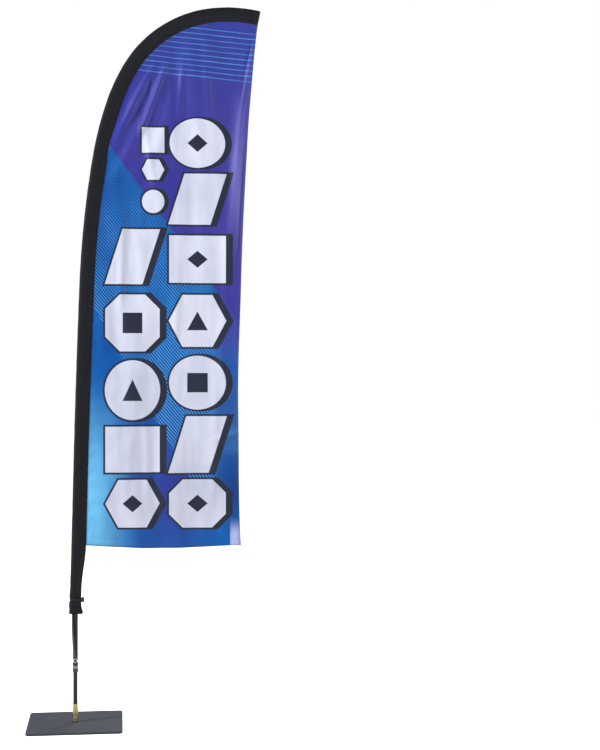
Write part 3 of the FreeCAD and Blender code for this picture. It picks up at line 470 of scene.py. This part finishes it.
def mesh_object(name, verts, faces, material, uvs=None, smooth_shade=True):
    me = bpy.data.meshes.new(name)
    me.from_pydata([tuple(v) for v in verts], [], faces)
    me.validate()
    if uvs is not None:
        layer = me.uv_layers.new(name="flat")
        for poly in me.polygons:
            for li in poly.loop_indices:
                layer.data[li].uv = uvs[me.loops[li].vertex_index]
    if smooth_shade:
        me.shade_smooth()
    ob = bpy.data.objects.new(name, me)
    scene.collection.objects.link(ob)
    me.materials.append(material)
    bm = bmesh.new()
    bm.from_mesh(me)
    bmesh.ops.recalc_face_normals(bm, faces=bm.faces)
    bm.to_mesh(me)
    bm.free()
    return ob


# ---------------------------------------------------------------- panel
FLY = [(708.0, 756.0), (703.0, 841.0), (699.5, 971.0), (698.0, 1130.0), (696.0, 1290.0), (695.0, 1420.0),
       (697.0, 1554.0), (701.0, 1683.0), (705.5, 1813.0), (709.5, 1943.0), (714.5, 2072.0), (720.5, 2202.0),
       (727.0, 2332.0), (734.5, 2462.0), (742.5, 2592.0), (753.0, 2722.0), (764.0, 2852.0), (775.0, 2960.0),
       (780.6, 3003.1)]
FOOT = [(44.0, 761.7), (158.0, 754.0), (260.0, 748.5), (363.0, 746.0), (466.0, 746.0), (560.0, 749.5),
        (640.0, 753.5), (708.0, 756.0)]


def spline(points, t):
    """Catmull-Rom through the points; t from 0 to 1 by chord length."""
    d = [0.0]
    for a, b in zip(points[:-1], points[1:]):
        d.append(d[-1] + math.hypot(b[0] - a[0], b[1] - a[1]))
    s = t * d[-1]
    i = 0
    while i < len(d) - 2 and s > d[i + 1]:
        i += 1
    u = (s - d[i]) / (d[i + 1] - d[i])
    p0 = points[max(i - 1, 0)]
    p1, p2 = points[i], points[i + 1]
    p3 = points[min(i + 2, len(points) - 1)]
    out = []
    for k in (0, 1):
        a, b, c, e = p0[k], p1[k], p2[k], p3[k]
        out.append(0.5 * ((2 * b) + (c - a) * u + (2 * a - 5 * b + 4 * c - e) * u * u +
                          (3 * b - a - 3 * c + e) * u ** 3))
    return out


def nz(x, y, z):
    return noise.noise(Vector((x, y, z)))


CREASES = [(322, 2800, 196, 2560, 13, 9.0), (378, 2800, 282, 2540, 12, 7.5), (455, 2800, 440, 2600, 13, 5.0),
           (240, 2650, 150, 2440, 12, 6.0), (300, 2520, 330, 2330, 15, 4.0), (560, 2790, 575, 2600, 16, 4.5),
           (640, 2000, 628, 1500, 17, 4.0), (440, 2050, 425, 1650, 20, 4.0), (205, 2150, 190, 1800, 18, 4.0),
           (600, 1450, 590, 1000, 22, 4.0), (300, 1300, 310, 950, 20, 4.0)]


def creases(x, z):
    """Soft ridges in the cloth: each runs between two points, with a width and a height."""
    y = 0.0
    for x0, z0, x1, z1, w, h in CREASES:
        ax, az = x1 - x0, z1 - z0
        k = ((x - x0) * ax + (z - z0) * az) / (ax * ax + az * az)
        if k < -0.3 or k > 1.3:
            continue
        px, pz = x0 + ax * k, z0 + az * k
        d2 = ((x - px) ** 2 + (z - pz) ** 2) / (w * w)
        if d2 < 9.0:
            y += h * math.exp(-d2) * smooth(-0.3, 0.15, k) * (1 - smooth(0.85, 1.3, k))
    return y


def billow(x, z, u, wide, below):
    """How far the cloth stands off its plane, in mm; minus is towards the viewer. u is 0 at the sleeve,
    wide is the row's width and below the distance down from the tip, both in mm."""
    hold = smooth(0.0, 104.0, min(u * wide, below * 0.8))
    free = smooth(20.0, 170.0, below)
    y = 9.0 * nz(x / 420.0, 3.1, z / 900.0) * hold
    # long soft folds hanging from the bow, stronger high up
    high = smooth(1500.0, 2500.0, z)
    low = 1.0 - smooth(800.0, 1500.0, z)
    y += 11.0 * nz(x / 78.0 + 0.0011 * z, 7.7, z / 700.0) * hold * (0.55 + 0.65 * high)
    # the fold a hand's width in from the free edge
    fly = bump(u, 0.925, 0.035) * smooth(1650.0, 2300.0, z) * free
    y -= 9.5 * fly
    y += 6.0 * bump(u, 0.985, 0.03) * smooth(1650.0, 2300.0, z) * free
    # drag lines fanning out of the tight part of the bow
    fan = smooth(2250.0, 2420.0, z) * (1 - smooth(2700.0, 2840.0, z)) * bump(u, 0.16, 0.20)
    y += 3.0 * math.sin((x - 0.5 * (z - 2500.0)) / 15.0 + 1.5 * nz(x / 90.0, 1.0, z / 220.0)) * fan
    y -= 1.25 * creases(x, z) * hold
    # loose lower edge
    y += 6.0 * math.sin(x / 62.0 + 0.7) * low * hold * (1 - smooth(756.0, 1150.0, z))
    # curled lower free corner
    c = smooth(0.925, 1.0, u) * (1 - smooth(770.0, 890.0, z))
    y -= 24.0 * c
    y += 1.3 * nz(x / 30.0, 5.0, z / 90.0) * hold
    y += 9.0 * nz(x / 150.0 - 0.0006 * z, 1.4, z / 620.0) * hold
    # puckers where the cloth is sewn to the sleeve
    d = u * wide
    y += 1.9 * math.sin(z / 11.0 + 3.0 * nz(3.3, 0.2, z / 170.0)) * smooth(2.0, 20.0, d) * math.exp(-d / 42.0) * free \
        * (0.35 + 0.65 * (1 - high))
    # slack swags across the lower half, drawn from the free edge
    y += 5.0 * nz((x + 0.9 * z) / 210.0, 8.8, (z - 0.9 * x) / 560.0) * hold * (1 - high)
    # short crease running in from the free edge
    y -= 6.0 * math.exp(-((z - 1235.0 - 0.25 * (x - 690.0)) / 15.0) ** 2) * smooth(560.0, 640.0, x)
    y += 5.0 * nz((x + 0.5 * z) / 95.0, 2.2, (z - 0.4 * x) / 240.0) * hold
    return y


cloth = print_material("printed_polyester")
COLS = 132
HEM = 16.0
ROWS = 300
ts = [i / ROWS for i in range(ROWS + 1)]
ts += [HEM / 2300.0, (HEM + 1.2) / 2300.0]
ts = sorted(set(ts))
grid = []
for t_ in ts:
    s = S_PAN + (S_END - S_PAN) * t_
    lx, lz, la = bow(s, 59.0)
    rx, rz = spline(FLY, t_)
    row = []
    wide = math.hypot(rx - lx, rz - lz)
    h = min(HEM, 0.4 * wide)
    us = [i / COLS * (1 - (h + 0.08 * h) / wide) for i in range(COLS + 1)]
    us += [1 - h / wide, 1 - 0.86 * h / wide, 1.0]
    for u_ in us:
        x, z = lx + (rx - lx) * u_, lz + (rz - lz) * u_
        if t_ < 0.12:
            # the lower rows take the sag of the lower edge
            fx, fz = spline(FOOT, u_)
            w = 1 - smooth(0.0, 0.12, t_)
            z += (fz - (FOOT[0][1] + (FOOT[-1][1] - FOOT[0][1]) * u_)) * w
        y = billow(x, z, u_, wide, (1 - t_) * 2300.0)
        # cloth drawn in by its folds at the curled corner
        c = smooth(0.90, 1.0, u_) * (1 - smooth(760.0, 880.0, z))
        x -= 2.0 * c
        row.append((x, y, z))
    grid.append(row)
verts, uvs = [], []
R_, C_ = len(ts), COLS + 4
for side in (-1, 1):
    for i in range(R_):
        for j in range(C_):
            x, y, z = grid[i][j]
            hem = 1.0 if (j > COLS or ts[i] <= HEM / 2300.0 + 1e-6) else 0.0
            th = 0.28 + 0.55 * hem
            verts.append((x * MM, (y + side * th) * MM, z * MM))
            uvs.append((x * MM, z * MM))
faces = []
off = R_ * C_
for i in range(R_ - 1):
    for j in range(C_ - 1):
        a, b, c, d = i * C_ + j, i * C_ + j + 1, (i + 1) * C_ + j + 1, (i + 1) * C_ + j
        faces.append((a, b, c, d))
        faces.append((off + d, off + c, off + b, off + a))
for i in range(R_ - 1):
    for j in (0, C_ - 1):
        a, d = i * C_ + j, (i + 1) * C_ + j
        faces.append((a, d, off + d, off + a) if j == 0 else (a, off + a, off + d, d))
for j in range(C_ - 1):
    for i in (0, R_ - 1):
        a, b = i * C_ + j, i * C_ + j + 1
        faces.append((a, off + a, off + b, b) if i == 0 else (a, b, off + b, off + a))
panel = mesh_object("panel_cloth", verts, faces, cloth, uvs)


# ---------------------------------------------------------------- stitches
def stitches(name, points, normals, material, length=3.0, gap=1.5, radius=0.28):
    """A row of small raised stitches along a polyline in mm; normals say which way is out."""
    verts, faces = [], []
    d = [0.0]
    for a, b in zip(points[:-1], points[1:]):
        d.append(d[-1] + (Vector(b) - Vector(a)).length)

    def at(s):
        lo, hi = 0, len(d) - 1
        while hi - lo > 1:
            k = (lo + hi) // 2
            if d[k] <= s:
                lo = k
            else:
                hi = k
        f = (s - d[lo]) / max(1e-9, d[lo + 1] - d[lo])
        return Vector(points[lo]).lerp(Vector(points[lo + 1]), f), Vector(normals[lo])

    s = gap
    while s + length < d[-1]:
        rings = []
        for k, (f, r) in enumerate(((0.0, 0.25), (0.2, 0.9), (0.5, 1.0), (0.8, 0.9), (1.0, 0.25))):
            p, n = at(s + length * f)
            q_, _ = at(min(d[-1], s + length * f + 0.4))
            tdir = (q_ - p).normalized() if (q_ - p).length > 1e-6 else Vector((0, 0, 1))
            side = tdir.cross(n).normalized()
            lift = radius * (0.1 if k in (0, 4) else 0.75)
            ring = []
            for m in range(5):
                ang = 2 * math.pi * m / 5
                v = p + n * lift + (side * math.cos(ang) + n * math.sin(ang)) * radius * r
                ring.append(len(verts))
                verts.append(v * MM)
            rings.append(ring)
        for a, b in zip(rings[:-1], rings[1:]):
            for m in range(5):
                faces.append((a[m], a[(m + 1) % 5], b[(m + 1) % 5], b[m]))
        faces.append(tuple(reversed(rings[0])))
        faces.append(tuple(rings[-1]))
        s += length + gap
    return mesh_object(name, verts, faces, material)


thread_black = plastic("thread_black", srgb(46, 48, 58), 0.5, 2000.0, 0.00003)
thread_blue = plastic("thread_blue", srgb(74, 84, 150), 0.5, 2000.0, 0.00003)

hem_parts = []
for tag, side in (("front", -1), ("back", 1)):
    pts, nrm = [], []
    for k in range(0, len(ts)):
        t_ = ts[k]
        if t_ < 0.006:
            continue
        p = grid[k][COLS + 2]
        pts.append((p[0], p[1] + side * 0.83, p[2]))
        nrm.append((0, side, 0))
    hem_parts.append(stitches("hem_stitch_fly_" + tag, pts, nrm, thread_blue))
    ti = min(range(len(ts)), key=lambda q: abs(ts[q] - (HEM - 2.0) / 2300.0))
    pts = [(grid[ti][j][0], grid[ti][j][1] + side * 0.83, grid[ti][j][2]) for j in range(C_)]
    hem_parts.append(stitches("hem_stitch_foot_" + tag, pts, [(0, side, 0)] * len(pts), thread_blue))

# ---------------------------------------------------------------- sleeve
sleeve_mat = black_cloth("sleeve_polyester")
R_S, N_S = 12.4, 28.0


def section(width, he, k=12):
    """Closed outline of the sleeve square to the bow: (inwards, across) in mm."""
    pts = []
    steps = 15
    for i in range(steps + 1):                       # front face from the seam out to the pole
        f = i / steps
        n = width + (N_S - width) * f
        y = -(he + (R_S - he) * smooth(0.0, 1.0, f) ** 0.9)
        pts.append((n, y))
    for i in range(1, 7):
        pts.append((N_S + (R_S - N_S) * i / 7, -R_S))
    for i in range(k + 1):
        a = -math.pi / 2 - math.pi * i / k
        pts.append((R_S + R_S * math.cos(a), R_S * math.sin(a)))
    for i in range(6, 0, -1):
        pts.append((N_S + (R_S - N_S) * i / 7, R_S))
    for i in range(steps, -1, -1):
        f = i / steps
        n = width + (N_S - width) * f
        y = he + (R_S - he) * smooth(0.0, 1.0, f) ** 0.9
        pts.append((n, y))
    return pts


def band_width(z, s):
    if z > 763:
        return 61.0
    a = smooth(575.0, 763.0, z)
    w = 46.5 + 14.5 * a
    w += 6.0 * (1 - smooth(474.0, 520.0, z))
    return w


NS = 620
rows = []
s_list = [S_BOT - 2.0 + (S_END - S_BOT + 2.0) * i / NS for i in range(NS + 1)]
S_CORD = (531.0 - Z0) / math.cos(LEAN)
s_list = [v for v in s_list if abs(v - S_CORD) > 22.0] + [S_CORD - 21.6 + 0.9 * i for i in range(49)]
s_list.sort()
per = None
for s in s_list:
    x, z, a = bow(s)
    w = band_width(z, s)
    loose = 1 - smooth(700.0, 1000.0, z)
    tail = 1 - smooth(560.0, 700.0, z)
    sec = section(w, 1.0 + 1.5 * tail)
    left = -2.6 * (1 - smooth(480.0, 700.0, z))
    row = []
    run = 0.0
    for i, (n, y) in enumerate(sec):
        if i:
            run += math.hypot(n - sec[i - 1][0], y - sec[i - 1][1])
        th = math.atan2(y, n - 22.0)
        # wrinkles stand outwards only, so the cloth never sinks into the pole
        wr = 0.7 * (1 + nz(n / 16.0, y / 14.0, s / 46.0))
        wr += 1.6 * loose * (1 + nz(n / 11.0, y / 9.0, s / 60.0 + 9.0)) * 0.5
        wr += 0.5 * bump(n, w - 15.0, 5.5) * (1 + math.sin(s / 5.6 + 2.5 * nz(0.7, 4.0, s / 120.0)))
        off = abs(z - 531.0)
        pleat = smooth(1.5, 12.0, off) * (1 - smooth(16.0, 60.0, off))
        wr += 2.1 * pleat * (1 + math.sin(run / 1.75 + 1.3 * math.sin(s / 17.0) + 2.4 * nz(n / 20.0, y / 20.0, s / 90.0))) * 0.5
        neck = 1 - smooth(1.8, 6.5, off)
        wr *= 1 - neck
        d = math.hypot(n - R_S, y) or 1.0
        seam = smooth(w - 15.0, w - 9.5, n)
        k = (1 - seam)
        on, oy = (n - R_S) / d, y / d
        n2 = n + on * wr * k * (0.35 if n > N_S else 1.0) + left * (1 - smooth(0.0, 30.0, n))
        y2 = y + (1 if y > 0 else -1) * wr * k * (1.0 if n > 4 else 0.4)
        y2 *= 1 - 0.09 * neck
        px, pz = x + math.cos(a) * n2, z - math.sin(a) * n2
        if s == s_list[0]:
            pz += 2.5 * nz(n / 13.0, y / 13.0, 4.0)
        row.append(((px * MM, y2 * MM, pz * MM), (run * MM, s * MM)))
    rows.append(row)
P = len(rows[0])
verts = [p[0] for row in rows for p in row]
uvs = [p[1] for row in rows for p in row]
faces = []
for i in range(len(rows) - 1):
    for j in range(P):
        k = (j + 1) % P
        faces.append((i * P + j, i * P + k, (i + 1) * P + k, (i + 1) * P + j))
sleeve = mesh_object("sleeve_cloth", verts, faces, sleeve_mat, uvs)
so = sleeve.modifiers.new("thickness", "SOLIDIFY")
so.thickness = 0.0007
so.offset = -1.0

# end pocket that closes the sleeve over the pole's tip
verts, faces = [], []
prev = None
for q_ in range(7):
    f = q_ / 6.0
    x, z, a = bow(S_END - 5.0 + 13.0 * f)
    sec = section(61.6, 1.2)
    shrink = 1.06 if f < 0.5 else 1.06 * math.sqrt(max(0.02, 1 - ((f - 0.5) / 0.52) ** 2))
    ring = []
    for n, y in sec:
        n2 = 30.0 + (n - 30.0) * (1.012 if f < 0.8 else 0.985)
        ring.append(len(verts))
        verts.append(((x + math.cos(a) * n2) * MM, y * shrink * MM, (z - math.sin(a) * n2) * MM))
    if prev:
        for j in range(len(ring)):
            k = (j + 1) % len(ring)
            faces.append((prev[j], prev[k], ring[k], ring[j]))
    prev = ring
    if q_ == 0:
        first = ring
faces.append(tuple(prev))
faces.append(tuple(reversed(first)))
tip = mesh_object("tip_end_pocket", verts, faces, black_cloth("tip_cloth", srgb(24, 25, 31), 0.0012),
                  [(v[0], v[2]) for v in verts])

seams = []
for inset in (3.2, 8.2):
    for tag, side in (("front", -1), ("back", 1)):
        pts = []
        s0, s1 = S_BOT + 20.0, S_END - 7.0
        for i in range(int((s1 - s0) / 6.0) + 1):
            s = s0 + i * 6.0
            z_ = bow(s)[1]
            w = band_width(z_, s)
            x, z, a = bow(s, w - inset)
            tail = 1 - smooth(560.0, 700.0, z_)
            he = 1.0 + 1.5 * tail
            f = inset / (w - N_S)
            y = he + (R_S - he) * smooth(0.0, 1.0, f) ** 0.9
            y *= 1 - 0.09 * (1 - smooth(1.8, 6.5, abs(z_ - 531.0)))
            pts.append((x, side * (y + 0.25), z))
        seams.append(stitches("seam_%d_%s" % (int(inset), tag), pts, [(0, side, 0)] * len(pts), thread_black, 3.4, 1.4, 0.32))

# ---------------------------------------------------------------- lower end: cuff, drawcord, strap
strap_mat = webbing("strap_webbing")


def ribbon(name, path, widths, thick, material, across):
    """Flat strap along a path of points in mm. across gives the strap's width direction per point."""
    verts, faces, uvs = [], [], []
    run = 0.0
    n = len(path)
    for i in range(n):
        p = Vector(path[i])
        if i:
            run += (p - Vector(path[i - 1])).length
        t_ = (Vector(path[min(i + 1, n - 1)]) - Vector(path[max(i - 1, 0)])).normalized()
        w = Vector(across[i]).normalized()
        w = (w - t_ * w.dot(t_)).normalized()
        o = t_.cross(w).normalized()
        h = widths / 2
        prof = [(-h, -0.5), (-h * 0.94, -1), (0, -1), (h * 0.94, -1), (h, -0.5), (h, 0.5), (h * 0.94, 1), (0, 1),
                (-h * 0.94, 1), (-h, 0.5)]
        for a, b in prof:
            verts.append((p + w * a + o * b * thick / 2) * MM)
            uvs.append(((a + h) * MM, run * MM))
    m = 10
    for i in range(n - 1):
        for j in range(m):
            k = (j + 1) % m
            faces.append((i * m + j, i * m + k, (i + 1) * m + k, (i + 1) * m + j))
    faces.append(tuple(range(m - 1, -1, -1)))
    faces.append(tuple((n - 1) * m + j for j in range(m)))
    return mesh_object(name, verts, faces, material, uvs)


def smooth_path(ctrl, n):
    out = []
    L = [0.0]
    for a, b in zip(ctrl[:-1], ctrl[1:]):
        L.append(L[-1] + (Vector(b) - Vector(a)).length)
    for q_ in range(n + 1):
        s = L[-1] * q_ / n
        i = 0
        while i < len(L) - 2 and s > L[i + 1]:
            i += 1
        u = (s - L[i]) / (L[i + 1] - L[i])
        p = [Vector(ctrl[max(0, min(len(ctrl) - 1, i + k))]) for k in (-1, 0, 1, 2)]
        out.append(0.5 * ((2 * p[1]) + (p[2] - p[0]) * u + (2 * p[0] - 5 * p[1] + 4 * p[2] - p[3]) * u * u +
                          (3 * p[1] - p[0] - 3 * p[2] + p[3]) * u ** 3))
    return out


# the strap leaves the sleeve on the pole's left, bows out, and comes round to the buckle in front
ctrl, acr = [], []
for z, ang, r in ((500, 202, 13.4), (474, 206, 14.2), (430, 218, 15.8), (395, 223, 15.4), (355, 230, 13.3),
                  (320, 243, 12.4), (296, 258, 12.3), (282, 268, 13.0), (276, 270, 14.9), (270, 270, 15.0),
                  (266, 270, 13.2), (262, 270, 12.3), (256, 270, 12.0)):
    a = math.radians(ang)
    ctrl.append((r * math.cos(a), r * math.sin(a), z))
    acr.append((-math.sin(a), math.cos(a), 0.0))
path = smooth_path(ctrl, 96)
ac = [(-p_.y, p_.x, 0.0) for p_ in path]
strap = ribbon("strap_web", path, 12.0, 1.3, strap_mat, ac)

band_pts, band_ac = [], []
for i in range(49):
    a = 2 * math.pi * i / 48
    band_pts.append((11.75 * math.cos(a), 11.75 * math.sin(a), 258.0))
    band_ac.append((0, 0, 1))


def hoop(name, r_in, r_out, z0, z1, material, wobble=0.0):
    verts, faces, uvs = [], [], []
    seg = 48
    prof = [(r_in, z0), (r_out - 0.25, z0), (r_out, z0 + 0.4), (r_out, (z0 + z1) / 2), (r_out, z1 - 0.4),
            (r_out - 0.25, z1), (r_in, z1)]
    for i in range(seg):
        a = 2 * math.pi * i / seg
        for k, (r, z) in enumerate(prof):
            rr = r + (wobble * nz(math.cos(a) * 2, math.sin(a) * 2, z / 9.0) if k not in (0, 6) else 0)
            verts.append((rr * math.cos(a) * MM, rr * math.sin(a) * MM, z * MM))
            uvs.append((z * MM, a * r_out * MM))
    m = len(prof)
    for i in range(seg):
        j = (i + 1) % seg
        for k in range(m):
            l = (k + 1) % m
            faces.append((i * m + k, j * m + k, j * m + l, i * m + l))
    return mesh_object(name, verts, faces, material, uvs)


band = hoop("strap_hoop", 11.05, 12.1, 252.5, 263.5, strap_mat, 0.15)

nickel = metal("nickel_plate", (0.80, 0.79, 0.77), 0.16, 0.1, 0.08)


def wire_loop(name, pts, r, material, closed=True, seg=10):
    verts, faces = [], []
    n = len(pts)
    for i in range(n):
        p = Vector(pts[i])
        if closed:
            a, b = Vector(pts[(i - 1) % n]), Vector(pts[(i + 1) % n])
        else:
            a, b = Vector(pts[max(i - 1, 0)]), Vector(pts[min(i + 1, n - 1)])
        t_ = (b - a).normalized()
        up = Vector((0, 1, 0)) if abs(t_.y) < 0.8 else Vector((1, 0, 0))
        s1 = t_.cross(up).normalized()
        s2 = t_.cross(s1).normalized()
        for k in range(seg):
            an = 2 * math.pi * k / seg
            verts.append((p + (s1 * math.cos(an) + s2 * math.sin(an)) * r) * MM)
    for i in range(n if closed else n - 1):
        j = (i + 1) % n
        for k in range(seg):
            l = (k + 1) % seg
            faces.append((i * seg + k, i * seg + l, j * seg + l, j * seg + k))
    if not closed:
        faces.append(tuple(range(seg - 1, -1, -1)))
        faces.append(tuple((n - 1) * seg + k for k in range(seg)))
    return mesh_object(name, verts, faces, material)


def rounded(hw, hh, r, y, zc, per=6):
    pts = []
    for cx, cz, a0 in ((hw - r, hh - r, 0), (-(hw - r), hh - r, 90), (-(hw - r), -(hh - r), 180), (hw - r, -(hh - r), 270)):
        for i in range(per + 1):
            a = math.radians(a0 + 90.0 * i / per)
            pts.append((cx + r * math.cos(a), y, zc + cz + r * math.sin(a)))
    return pts


buckle = wire_loop("buckle_ring", rounded(7.6, 6.8, 2.4, -13.4, 273.0), 1.15, nickel)
bar = wire_loop("buckle_bar", [(-7.0, -13.4, 273.0), (-3.0, -13.4, 273.0), (3.0, -13.4, 273.0), (7.0, -13.4, 273.0)], 1.0,
                nickel, False)

# drawcord: a braided loop lying in the gathers, through the lock
cord_mat = webbing("cord_braid", srgb(40, 41, 48))
ZC = 531.0
cx_, cz_, _ = bow((ZC - Z0) / math.cos(LEAN))
LX = cx_ + 46.0 + 6.8 + 0.4
r_c = 13.0
loop = []
for i in range(25):
    a = math.radians(90 + 180 * i / 24)
    loop.append((cx_ + 12.3 + (r_c + 0.6) * math.cos(a) - 1.6, r_c * math.sin(a), ZC + 0.8 * math.sin(3 * a)))
for x, y in ((cx_ + 24, -12.6), (cx_ + 34, -10.6), (cx_ + 42, -9.4), (LX - 4.0, -9.6), (LX - 1.0, -8.8), (LX, -7.0),
             (LX, -3.5), (LX, 0.0), (LX, 3.5), (LX, 7.0), (LX - 1.0, 8.8), (LX - 4.0, 9.6), (cx_ + 42, 9.4),
             (cx_ + 34, 10.6), (cx_ + 24, 12.6)):
    loop.append((x, y, ZC))
cord_loop = wire_loop("drawcord_loop", loop, 1.5, cord_mat, True, 12)

# the lock's spring, which shortens as the button goes down
coil = []
turns, base_z, rise = 5.7 / 1.35, 522.55, 5.7
for i in range(int(turns * 28) + 1):
    f = i / int(turns * 28)
    a = 2 * math.pi * turns * f
    coil.append((LX + 3.0 * math.cos(a), 3.0 * math.sin(a), base_z + rise * f))
spring = wire_loop("lock_spring_coil", coil, 0.33, metal("spring_wire", (0.5, 0.5, 0.52), 0.25), False, 8)

# cuff: the turned and stitched lower edge
cuff_rows = []
for q_ in range(6):
    s = S_BOT - 1.0 + 2.6 * q_
    x, z, a = bow(s)
    sec = section(band_width(z, s) + 0.8, 3.4)
    row = []
    grow = 1.4 if 0 < q_ < 5 else 0.9
    for i, (n, y) in enumerate(sec):
        d = math.hypot(n - R_S, y) or 1.0
        wr = 1.2 * (1 + nz(n / 9.0, y / 9.0, 2.0)) + grow
        n2 = n + (n - R_S) / d * wr * (0.5 if n > N_S else 1.0) - 2.4 * (1 - smooth(0.0, 30.0, n))
        y2 = y + (1 if y > 0 else -1) * wr
        row.append(((x + math.cos(a) * n2) * MM, y2 * MM, (z - math.sin(a) * n2 + 2.2 * nz(n / 13.0, y / 13.0, 4.0)) * MM))
    cuff_rows.append(row)
verts = [p for row in cuff_rows for p in row]
faces = []
P = len(cuff_rows[0])
for i in range(5):
    for j in range(P):
        k = (j + 1) % P
        faces.append((i * P + j, i * P + k, (i + 1) * P + k, (i + 1) * P + j))
cuff = mesh_object("cuff_hem", verts, faces, sleeve_mat, [(v[0] + v[1], v[2]) for v in verts])
so = cuff.modifiers.new("thickness", "SOLIDIFY")
so.thickness = 0.0012
so.offset = -1.0

# ---------------------------------------------------------------- what rides on what
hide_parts("flag_panel")
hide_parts("pole_sleeve")
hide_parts("tip_pocket")
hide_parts("sleeve_cuff")
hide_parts("tension_strap")
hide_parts("strap_band")
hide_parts("strap_buckle")
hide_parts("drawcord")
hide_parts("cord_lock_spring")
for ob in [panel, sleeve, tip, cuff, strap, band, buckle, bar, cord_loop, spring] + hem_parts + seams:
    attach(ob, "pole")
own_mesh(spring)

# ---------------------------------------------------------------- materials of the carried-over parts
black_tube = pole_black("tube_satin_black", srgb(31, 31, 36), 0.40)
alloy = pole_black("alloy_anodised", srgb(29, 29, 34), 0.44)
MATS = {
    "base_plate": powder_coat("plate_powder_coat"),
    "base_pad": plastic("pad_rubber", srgb(34, 34, 36), 0.75, 500.0, 0.0002),
    "plate_bolt": metal("bolt_zinc", (0.62, 0.63, 0.64), 0.3),
    "foot_collar": plastic("collar_nylon", srgb(44, 45, 50), 0.45),
    "spindle": zinc("spindle_yellow_zinc"),
    "rotor_housing": zinc("housing_yellow_zinc"),
    "bearing_inner_races": metal("race_steel", (0.75, 0.75, 0.77), 0.12),
    "bearing_outer_races": metal("race_steel_outer", (0.75, 0.75, 0.77), 0.14),
    "bearing_balls": metal("ball_steel", (0.8, 0.8, 0.82), 0.06),
    "bearing_spacer": metal("spacer_zinc", (0.6, 0.61, 0.63), 0.3),
    "bearing_circlip": metal("clip_spring_steel", (0.28, 0.28, 0.3), 0.3),
    "retaining_washer": metal("washer_zinc", (0.62, 0.63, 0.65), 0.28),
    "retaining_screw": metal("screw_zinc", (0.62, 0.63, 0.65), 0.26),
    "rotor_tube": black_tube,
    "tube_rivet": metal("rivet_dark", (0.10, 0.10, 0.105), 0.35),
    "tube_cap": plastic("cap_nylon", srgb(30, 30, 33), 0.5),
    "stop_collar": plastic("stop_collar_black", srgb(30, 31, 35), 0.5),
    "collar_screw": metal("grub_screw_black", (0.08, 0.08, 0.085), 0.35),
    "pole_end_ferrule": metal("ferrule_grey", (0.16, 0.165, 0.175), 0.38, metallic=0.85),
    "pole_lower": alloy, "pole_middle": alloy,
    "ferrule_lower": metal("ferrule_alloy", (0.55, 0.56, 0.58), 0.35),
    "ferrule_upper": metal("ferrule_alloy_upper", (0.55, 0.56, 0.58), 0.35),
    "pole_upper": pole_black("glass_fibre_black", srgb(44, 44, 46), 0.3),
    "tip_cap": plastic("tip_cap_black", srgb(28, 28, 30), 0.5),
    "cord_lock_body": plastic("lock_body_black", srgb(46, 48, 54), 0.42),
    "cord_lock_button": plastic("lock_button_grey", srgb(96, 100, 106), 0.42),
}
for name, mat in MATS.items():
    ob = nodes[name]
    for sl in ob.material_slots:
        sl.link = "OBJECT"
        sl.material = mat

# ---------------------------------------------------------------- floor, light, camera
t = Tree("floor_paper")
grain = t.noise(t.coord(), 40.0, 4.0, 0.6)
t.set(Base_Color=t.mix(t.lin(grain, 0.3, 0.7, 0, 1), (0.90, 0.90, 0.90), (0.93, 0.93, 0.93)), Roughness=0.95)
t.bsdf.inputs["Specular IOR Level"].default_value = 0.1
t.bsdf.inputs["Emission Color"].default_value = (1.0, 1.0, 1.0, 1.0)
t.bsdf.inputs["Emission Strength"].default_value = 0.80
floor = mesh_object("floor", [(-40, -40, 0), (40, -40, 0), (40, 40, 0), (-40, 40, 0)], [(0, 1, 2, 3)], t.mat)
floor.visible_diffuse = False

# a white studio wall all round, bright to the eye but giving no light of its own
t = Tree("wall_white")
t.set(Base_Color=(0.0, 0.0, 0.0), Roughness=1.0)
t.bsdf.inputs["Specular IOR Level"].default_value = 0.0
t.bsdf.inputs["Emission Color"].default_value = (1.0, 1.0, 1.0, 1.0)
t.bsdf.inputs["Emission Strength"].default_value = 1.0
bm = bmesh.new()
bmesh.ops.create_icosphere(bm, subdivisions=4, radius=38.0)
me = bpy.data.meshes.new("wall")
bm.to_mesh(me)
bm.free()
me.materials.append(t.mat)
wall = bpy.data.objects.new("wall", me)
scene.collection.objects.link(wall)
for flag in ("visible_diffuse", "visible_glossy", "visible_transmission", "visible_volume_scatter", "visible_shadow"):
    setattr(wall, flag, False)

world = bpy.data.worlds.new("studio")
scene.world = world
world.use_nodes = True
world.node_tree.nodes["Background"].inputs[0].default_value = (1.0, 1.0, 1.0, 1.0)
world.node_tree.nodes["Background"].inputs[1].default_value = 0.30


def area(name, loc, target, size, power, colour=(1, 1, 1)):
    li = bpy.data.lights.new(name, "AREA")
    li.shape = "RECTANGLE"
    li.size, li.size_y = size
    li.energy = power
    li.color = colour
    ob = bpy.data.objects.new(name, li)
    ob.location = loc
    ob.rotation_euler = (Vector(target) - Vector(loc)).to_track_quat("-Z", "Y").to_euler()
    scene.collection.objects.link(ob)
    return ob


area("key", (-4.9, -2.1, 3.7), (0.35, 0, 1.7), (0.7, 2.2), 560.0)
area("side", (3.9, -1.6, 2.6), (0.5, 0, 1.8), (0.6, 3.0), 130.0)
area("back", (2.6, 4.0, 3.5), (0.4, 0, 1.6), (1.2, 2.5), 200.0)

cam = bpy.data.cameras.new("cam")
cam.lens = 71.56
cam.sensor_width = 36.0
cam.sensor_fit = "AUTO"
cam.clip_end = 200.0
camera = bpy.data.objects.new("cam", cam)
camera.location = (0.1911, -6.4263, 1.4890)
camera.rotation_euler = (math.radians(90.0), 0.0, -0.1198)
scene.collection.objects.link(camera)
scene.camera = camera
scene.view_settings.view_transform = "Standard"
